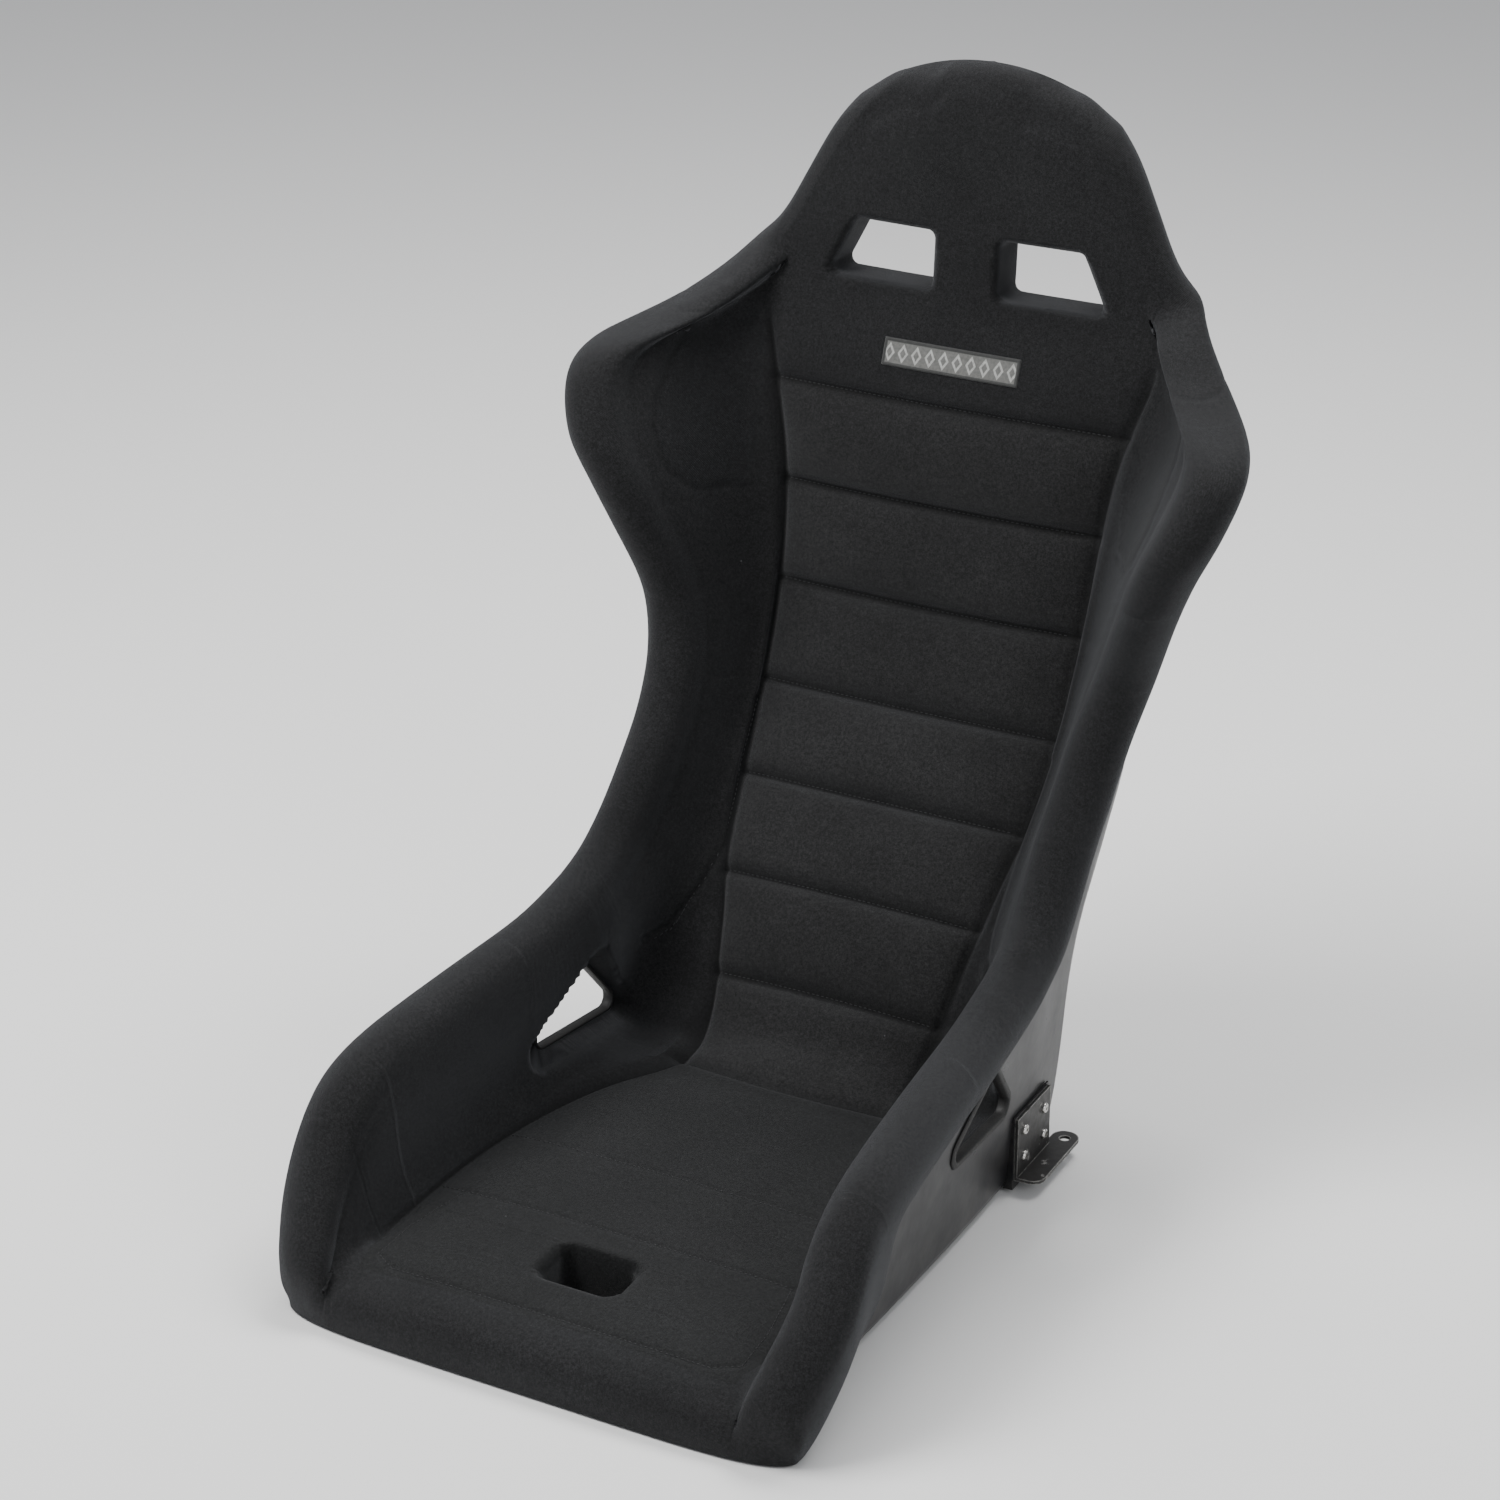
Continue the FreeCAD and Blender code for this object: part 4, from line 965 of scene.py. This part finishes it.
# Section of the rubber edge: how far outside the opening, and how far outside the shell's outer face.
EDGE_SECTION = ((6.5, 0.2), (6.3, 1.0), (5.4, 1.7), (2.2, 2.3), (0.7, 2.1), (0.0, 1.2), (0.0, -6.4),
                (0.6, -7.3),
                (2.0, -7.3), (2.4, -6.4), (2.4, 0.2))


def opening_edge(name, side):
    """Moulded rubber edge round a lap-belt opening, lapped onto the shell."""
    verts, faces = [], []
    size = len(EDGE_SECTION)
    for core, out in rounded(LAP, LAP_ROUND):
        for margin, proud in EDGE_SECTION:
            y, z = core + (LAP_ROUND + margin) * out
            verts.append((side * (wall_at(y, z) + proud), y, z))
    for first in range(0, len(verts), size):
        second = (first + size) % len(verts)
        for k in range(size):
            following = (k + 1) % size
            a, b, c, d = first + k, first + following, second + k, second + following
            faces.append((a, b, d, c) if side > 0 else (c, d, b, a))
    return new_object(name, to_frame(verts), faces)


edges_of = {word: opening_edge("lap_edge_" + word, side) for side, word in ((1, "right"), (-1, "left"))}
for word, piece in edges_of.items():
    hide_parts("lap_trim_" + word)


# ---------------------------------------------------------------- materials
class Finish:
    """A procedural material; the methods add nodes to it and give back their output sockets."""

    def __init__(self, name):
        self.made = bpy.data.materials.new(name)
        self.made.use_nodes = True
        self.nodes = self.made.node_tree.nodes
        self.shader = next(node for node in self.nodes if node.type == "BSDF_PRINCIPLED")

    def give(self, socket, value):
        """Links a socket, or sets a plain value on it."""
        if isinstance(value, bpy.types.NodeSocket):
            self.made.node_tree.links.new(value, socket)
        else:
            socket.default_value = value

    def shade(self, **values):
        """Settings of the shader itself."""
        for key, value in values.items():
            self.give(self.shader.inputs[key.replace("_", " ")], value)

    def add(self, kind, **values):
        node = self.nodes.new("ShaderNode" + kind)
        for key, value in values.items():
            if key in node.bl_rna.properties.keys():
                setattr(node, key, value)
            else:
                self.give(node.inputs[key.replace("_", " ")], value)
        return node

    def where(self):
        return self.add("TexCoord").outputs["Object"]

    def axes(self, vector):
        return self.add("SeparateXYZ", Vector=vector).outputs

    def mix(self, factor, first, second, blend="MIX"):
        """A colour mix; the factor and both colours are sockets or plain values."""
        node = self.add("Mix", data_type="RGBA", blend_type=blend)
        for socket, value in zip((node.inputs[0], node.inputs[6], node.inputs[7]), (factor, first, second)):
            self.give(socket, value)
        return node.outputs[2]

    def ramp(self, source, low, high, low_value=0.0, high_value=1.0):
        """A linear map of a value, clamped at both ends."""
        node = self.add("MapRange")
        for socket, value in zip(node.inputs[0:5], (source, low, high, low_value, high_value)):
            self.give(socket, value)
        return node.outputs[0]

    def maths(self, operation, first, second=0.0):
        node = self.add("Math", operation=operation)
        for socket, value in zip(node.inputs, (first, second)):
            self.give(socket, value)
        return node.outputs[0]

    def times(self, first, second):
        return self.maths("MULTIPLY", first, second)

    def plus(self, first, second):
        return self.maths("ADD", first, second)

    def minus(self, first, second):
        return self.maths("SUBTRACT", first, second)

    def wave(self, value, length):
        return self.maths("SINE", self.times(value, 2 * math.pi / length))

    def noise(self, vector, scale, detail=2.0, rough=0.5):
        return self.add("TexNoise", Vector=vector, Scale=scale, Detail=detail, Roughness=rough).outputs["Fac"]

    def bump(self, height, strength, distance):
        node = self.add("Bump", Strength=strength, Distance=distance, Height=height)
        self.shade(Normal=node.outputs["Normal"])


def cloth(name, base, twill, tint, sheen):
    """Matte knitted cloth: a fine diagonal rib, uneven dye, a little lint, and painted shade in the sewn
    folds and on the openings' walls.
    """
    f = Finish(name)
    across, along, _ = f.axes(f.add("UVMap", uv_map="cloth").outputs["UV"])
    where = f.where()
    diagonal = f.wave(f.plus(across, along), twill)
    thread = f.wave(f.minus(across, along), twill / 1.7)
    weave = f.plus(f.times(diagonal, 0.6), f.times(thread, 0.4))
    fuzz = f.noise(where, 1500, 3, 0.7)
    f.bump(f.plus(weave, f.times(fuzz, 1.6)), 0.5, 0.00035)

    dye = f.ramp(f.noise(where, 9, 4, 0.6), 0.3, 0.7, 0.78, 1.25)
    speck = f.ramp(f.noise(where, 900, 2, 0.6), 0.32, 0.7, 0.55, 1.6)
    speck = f.times(speck, f.ramp(f.noise(where, 380, 2, 0.6), 0.3, 0.7, 0.6, 1.45))
    tone = f.times(f.times(dye, speck), f.ramp(weave, -1, 1, 0.72, 1.3))
    # Painted shade: the cloth is darkened in the sewn folds and on the openings' walls.
    sewn = f.add("Attribute", attribute_name="sewn").outputs["Fac"]
    tone = f.times(tone, f.ramp(sewn, 0.0, 1.0, 1.0, 0.3))
    shade = f.add("CombineXYZ", **{axis: f.times(tone, value) for axis, value in zip("XYZ", base)})
    lint = f.add("TexVoronoi", Vector=where, Scale=62)
    spot = f.ramp(lint.outputs["Distance"], 0.045, 0.02, 0, 1)
    rare = f.ramp(f.noise(where, 31, 1), 0.66, 0.7, 0, 1)
    f.shade(
        Base_Color=f.mix(f.times(spot, rare), shade.outputs[0], (0.12, 0.12, 0.125, 1)),
        Roughness=f.ramp(fuzz, 0.3, 0.7, 0.82, 0.98),
        Specular_IOR_Level=0.25, Sheen_Weight=sheen, Sheen_Roughness=0.42, Sheen_Tint=(*tint, 1),
    )
    return f.made


def gelcoat():
    """Glossy black gelcoat: slight orange peel, hairline scratches, and dust towards the floor."""
    f = Finish("gelcoat")
    where = f.where()
    stretched = f.add("Mapping", Vector=where, Scale=(6, 6, 260), Rotation=(0.5, 0.35, 0.2))
    hair = f.ramp(f.noise(stretched.outputs["Vector"], 9, 3, 0.7), 0.68, 0.72)
    rough = f.ramp(f.noise(where, 14, 4, 0.6), 0.3, 0.75, 0.26, 0.44)
    low = f.ramp(f.axes(where)["Z"], 0.0, 0.12, 0.7, 0.05)
    dust = f.times(low, f.ramp(f.noise(where, 45, 5, 0.7), 0.4, 0.75))
    f.bump(f.minus(f.noise(where, 190), f.times(hair, 0.3)), 0.1, 0.0006)
    f.shade(
        Base_Color=f.mix(dust, (0.009, 0.009, 0.0105, 1), (0.045, 0.042, 0.038, 1)),
        Roughness=f.plus(rough, f.times(hair, 0.16)),
        Specular_IOR_Level=0.28, Coat_Weight=0.08, Coat_Roughness=0.14,
    )
    return f.made


def edging():
    """Dull black rubber edging with a fine grain."""
    f = Finish("edging")
    where = f.where()
    grain = f.noise(where, 700, 3, 0.6)
    worn = f.ramp(f.noise(where, 40, 4, 0.6), 0.35, 0.75)
    f.bump(grain, 0.3, 0.0003)
    f.shade(
        Base_Color=f.mix(worn, (0.009, 0.009, 0.009, 1), (0.022, 0.021, 0.02, 1)),
        Roughness=f.ramp(grain, 0.3, 0.7, 0.5, 0.75),
    )
    return f.made


def coated_steel():
    """Thin dark coating on steel sheet, rubbed through to bright metal along the edges."""
    f = Finish("coated_steel")
    where = f.where()
    dot = f.add("VectorMath", operation="DOT_PRODUCT")
    f.give(dot.inputs[0], f.add("NewGeometry").outputs["True Normal"])
    f.give(dot.inputs[1], f.add("Bevel", Radius=0.0016).outputs["Normal"])
    edge = f.ramp(dot.outputs["Value"], 0.99, 0.86)
    patchy = f.noise(where, 120, 5, 0.65)
    worn = f.times(edge, f.ramp(patchy, 0.34, 0.5))
    rubbed = f.ramp(f.noise(where, 70, 6, 0.7), 0.6, 0.68)
    bare = f.maths("MAXIMUM", worn, f.times(rubbed, 0.8))
    f.bump(f.minus(patchy, f.times(bare, 0.6)), 0.25, 0.0004)
    f.shade(
        Base_Color=f.mix(bare, (0.022, 0.021, 0.02, 1), (0.5, 0.49, 0.47, 1)),
        Metallic=f.ramp(bare, 0, 1, 0.15, 1),
        Roughness=f.ramp(patchy, 0.3, 0.7, 0.34, 0.55),
    )
    return f.made


def plated_steel(name, tone, low, high):
    """Bright plated steel with brushed grain and dull spots."""
    f = Finish(name)
    where = f.where()
    dull = f.noise(where, 260, 4, 0.6)
    dark = tuple(0.45 * value for value in tone)
    f.bump(f.noise(where, 1400), 0.15, 0.0002)
    f.shade(
        Base_Color=f.mix(f.ramp(dull, 0.5, 0.8), (*tone, 1), (*dark, 1)),
        Roughness=f.ramp(dull, 0.3, 0.7, low, high),
        Metallic=1.0,
    )
    return f.made


def badge_cloth():
    """Woven badge: grey ground, paler diamonds, darker overlocked edge, all in fine weave."""
    f = Finish("badge_cloth")
    across, up, _ = f.axes(f.add("UVMap", uv_map="cloth").outputs["UV"])

    def off_middle(value, size):
        """Distance from the middle, where the whole size counts as 1."""
        return f.maths("ABSOLUTE", f.minus(value if size is None else f.maths("DIVIDE", value, size), 0.5))

    cell = off_middle(f.maths("FRACT", f.maths("DIVIDE", across, 0.0124)), None)
    row = off_middle(up, 0.022)
    reach_out = f.plus(cell, f.times(row, 1.15))
    figure = f.times(f.ramp(reach_out, 0.40, 0.37), f.ramp(reach_out, 0.2, 0.23))
    side = f.ramp(f.maths("ABSOLUTE", f.minus(across, 0.062)), 0.0586, 0.0592)
    edge = f.maths("MAXIMUM", side, f.ramp(row, 0.36, 0.39))
    weave = f.times(f.wave(across, 0.0009), f.wave(up, 0.0009))
    tone = f.times(f.ramp(weave, -1, 1, 0.7, 1.2), f.ramp(f.noise(f.where(), 400, 3), 0.3, 0.7, 0.75, 1.15))
    ground = f.mix(figure, (0.16, 0.16, 0.15, 1), (0.46, 0.46, 0.44, 1))
    ground = f.mix(edge, ground, (0.035, 0.036, 0.034, 1))
    shade = f.add("CombineXYZ", X=tone, Y=tone, Z=tone)
    f.bump(f.plus(weave, f.times(figure, 1.5)), 0.5, 0.0003)
    f.shade(
        Base_Color=f.mix(1.0, ground, shade.outputs[0], "MULTIPLY"),
        Roughness=f.ramp(weave, -1, 1, 0.75, 0.6),
        Sheen_Weight=0.2,
    )
    return f.made


def thread_material():
    """Twisted polyester thread."""
    f = Finish("thread")
    fibre = f.noise(f.where(), 2600, 2, 0.6)
    f.bump(fibre, 0.4, 0.0002)
    f.shade(
        Base_Color=f.mix(fibre, (0.007, 0.007, 0.0075, 1), (0.03, 0.03, 0.032, 1)),
        Roughness=f.ramp(fibre, 0.3, 0.7, 0.5, 0.7),
    )
    return f.made


GREY = (0.82, 0.84, 0.87)
# The base tones are partly each pad's own cloth and partly painted light: the cushion, which faces the top
# light, gets a darker tone as painted shade, and the upright back a lighter one as painted light.
FABRIC = {
    "plain": cloth("cushion_cloth_painted_shade", (0.0094, 0.0096, 0.0097), 0.0013, GREY, 0.11),
    "back": cloth("back_cloth_painted_light", (0.0152, 0.0151, 0.0153), 0.0013, GREY, 0.23),
    "bolster": cloth("bolster_cloth", (0.0101, 0.0102, 0.0106), 0.0012, (0.8, 0.82, 0.87), 0.165),
    "inset": cloth("inset_cloth", (0.0100, 0.0102, 0.0108), 0.0018, GREY, 0.13),
}
for name, piece in pieces.items():
    _, kind, slot, _ = COVERS[name]
    piece.data.materials.append(FABRIC[kind])
    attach(piece, "root")

rubber = edging()
for piece, finish, slot in (
    (badge, badge_cloth(), "woven_patch"),
    (seam_thread, thread_material(), "channel_fabric"),
    (edges_of["right"], rubber, "trim_rubber"),
    (edges_of["left"], rubber, "trim_rubber"),
):
    piece.data.materials.append(finish)
    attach(piece, "root")

ZINC = (0.66, 0.65, 0.62)
CARRIED = {
    gelcoat(): ("shell",),
    coated_steel(): ("bracket_right", "bracket_left"),
    plated_steel("bare_plate", (0.42, 0.41, 0.4), 0.3, 0.5): ("backing_plate_right", "backing_plate_left"),
    plated_steel("zinc_plate", ZINC, 0.16, 0.34): ("bracket_bolts", "bracket_nuts", "floor_inserts"),
}
for finish, nodes in CARRIED.items():
    for node in nodes:
        for holder in NODES[node].material_slots:
            holder.material = finish


# ---------------------------------------------------------------- stage
def look_from(azimuth, elevation, roll):
    """Rotation of a camera that stands at that azimuth and elevation and looks level at the object."""
    a, e = math.radians(azimuth), math.radians(elevation)
    way = Vector((-math.sin(a) * math.cos(e), math.cos(a) * math.cos(e), -math.sin(e)))
    turn = way.to_track_quat("-Z", "Y").to_matrix().to_4x4()
    return turn @ Matrix.Rotation(math.radians(roll), 4, "Z")


camera_data = bpy.data.cameras.new("camera")
camera_data.sensor_width = 36
camera_data.lens = 97.23
camera = bpy.data.objects.new("camera", camera_data)
bpy.context.scene.collection.objects.link(camera)
camera.matrix_world = look_from(azimuth=29.764, elevation=23.802, roll=0.05)
camera.location = (1.41374, -2.45281 + DATUM / 1000, 1.64665)
bpy.context.scene.camera = camera


def area_light(name, place, aim, size, power, colour=(1, 1, 1)):
    data = bpy.data.lights.new(name, "AREA")
    data.shape = "RECTANGLE"
    data.size, data.size_y = size
    data.energy = power
    data.color = colour
    light = bpy.data.objects.new(name, data)
    bpy.context.scene.collection.objects.link(light)
    light.location = place
    light.rotation_euler = (Vector(aim) - Vector(place)).to_track_quat("-Z", "Y").to_euler()


area_light("key", (-1.45, -1.0, 2.9), (0, 0, 0.35), (1.6, 1.6), 98)
area_light("fill", (2.6, -1.2, 1.6), (0, 0, 0.4), (1.5, 1.5), 22, (0.96, 0.98, 1.0))
area_light("top", (0.2, 1.2, 2.8), (0, 0, 0.5), (2.0, 1.2), 70)
world = bpy.data.worlds.new("world")
world.use_nodes = True
world.node_tree.nodes["Background"].inputs["Color"].default_value = (0.93, 0.95, 1.0, 1)
world.node_tree.nodes["Background"].inputs["Strength"].default_value = 0.4
bpy.context.scene.world = world

FLOOR_HALF, FLOOR_Z = 60, -0.0005
corners = ((-1, -1), (1, -1), (1, 1), (-1, 1))
floor = new_object("floor", [(x * FLOOR_HALF, y * FLOOR_HALF, FLOOR_Z) for x, y in corners], [(0, 1, 2, 3)])
paper = Finish("pale_paper")
paper.shade(Base_Color=(0.9, 0.895, 0.88, 1), Roughness=0.8)
floor.data.materials.append(paper.made)
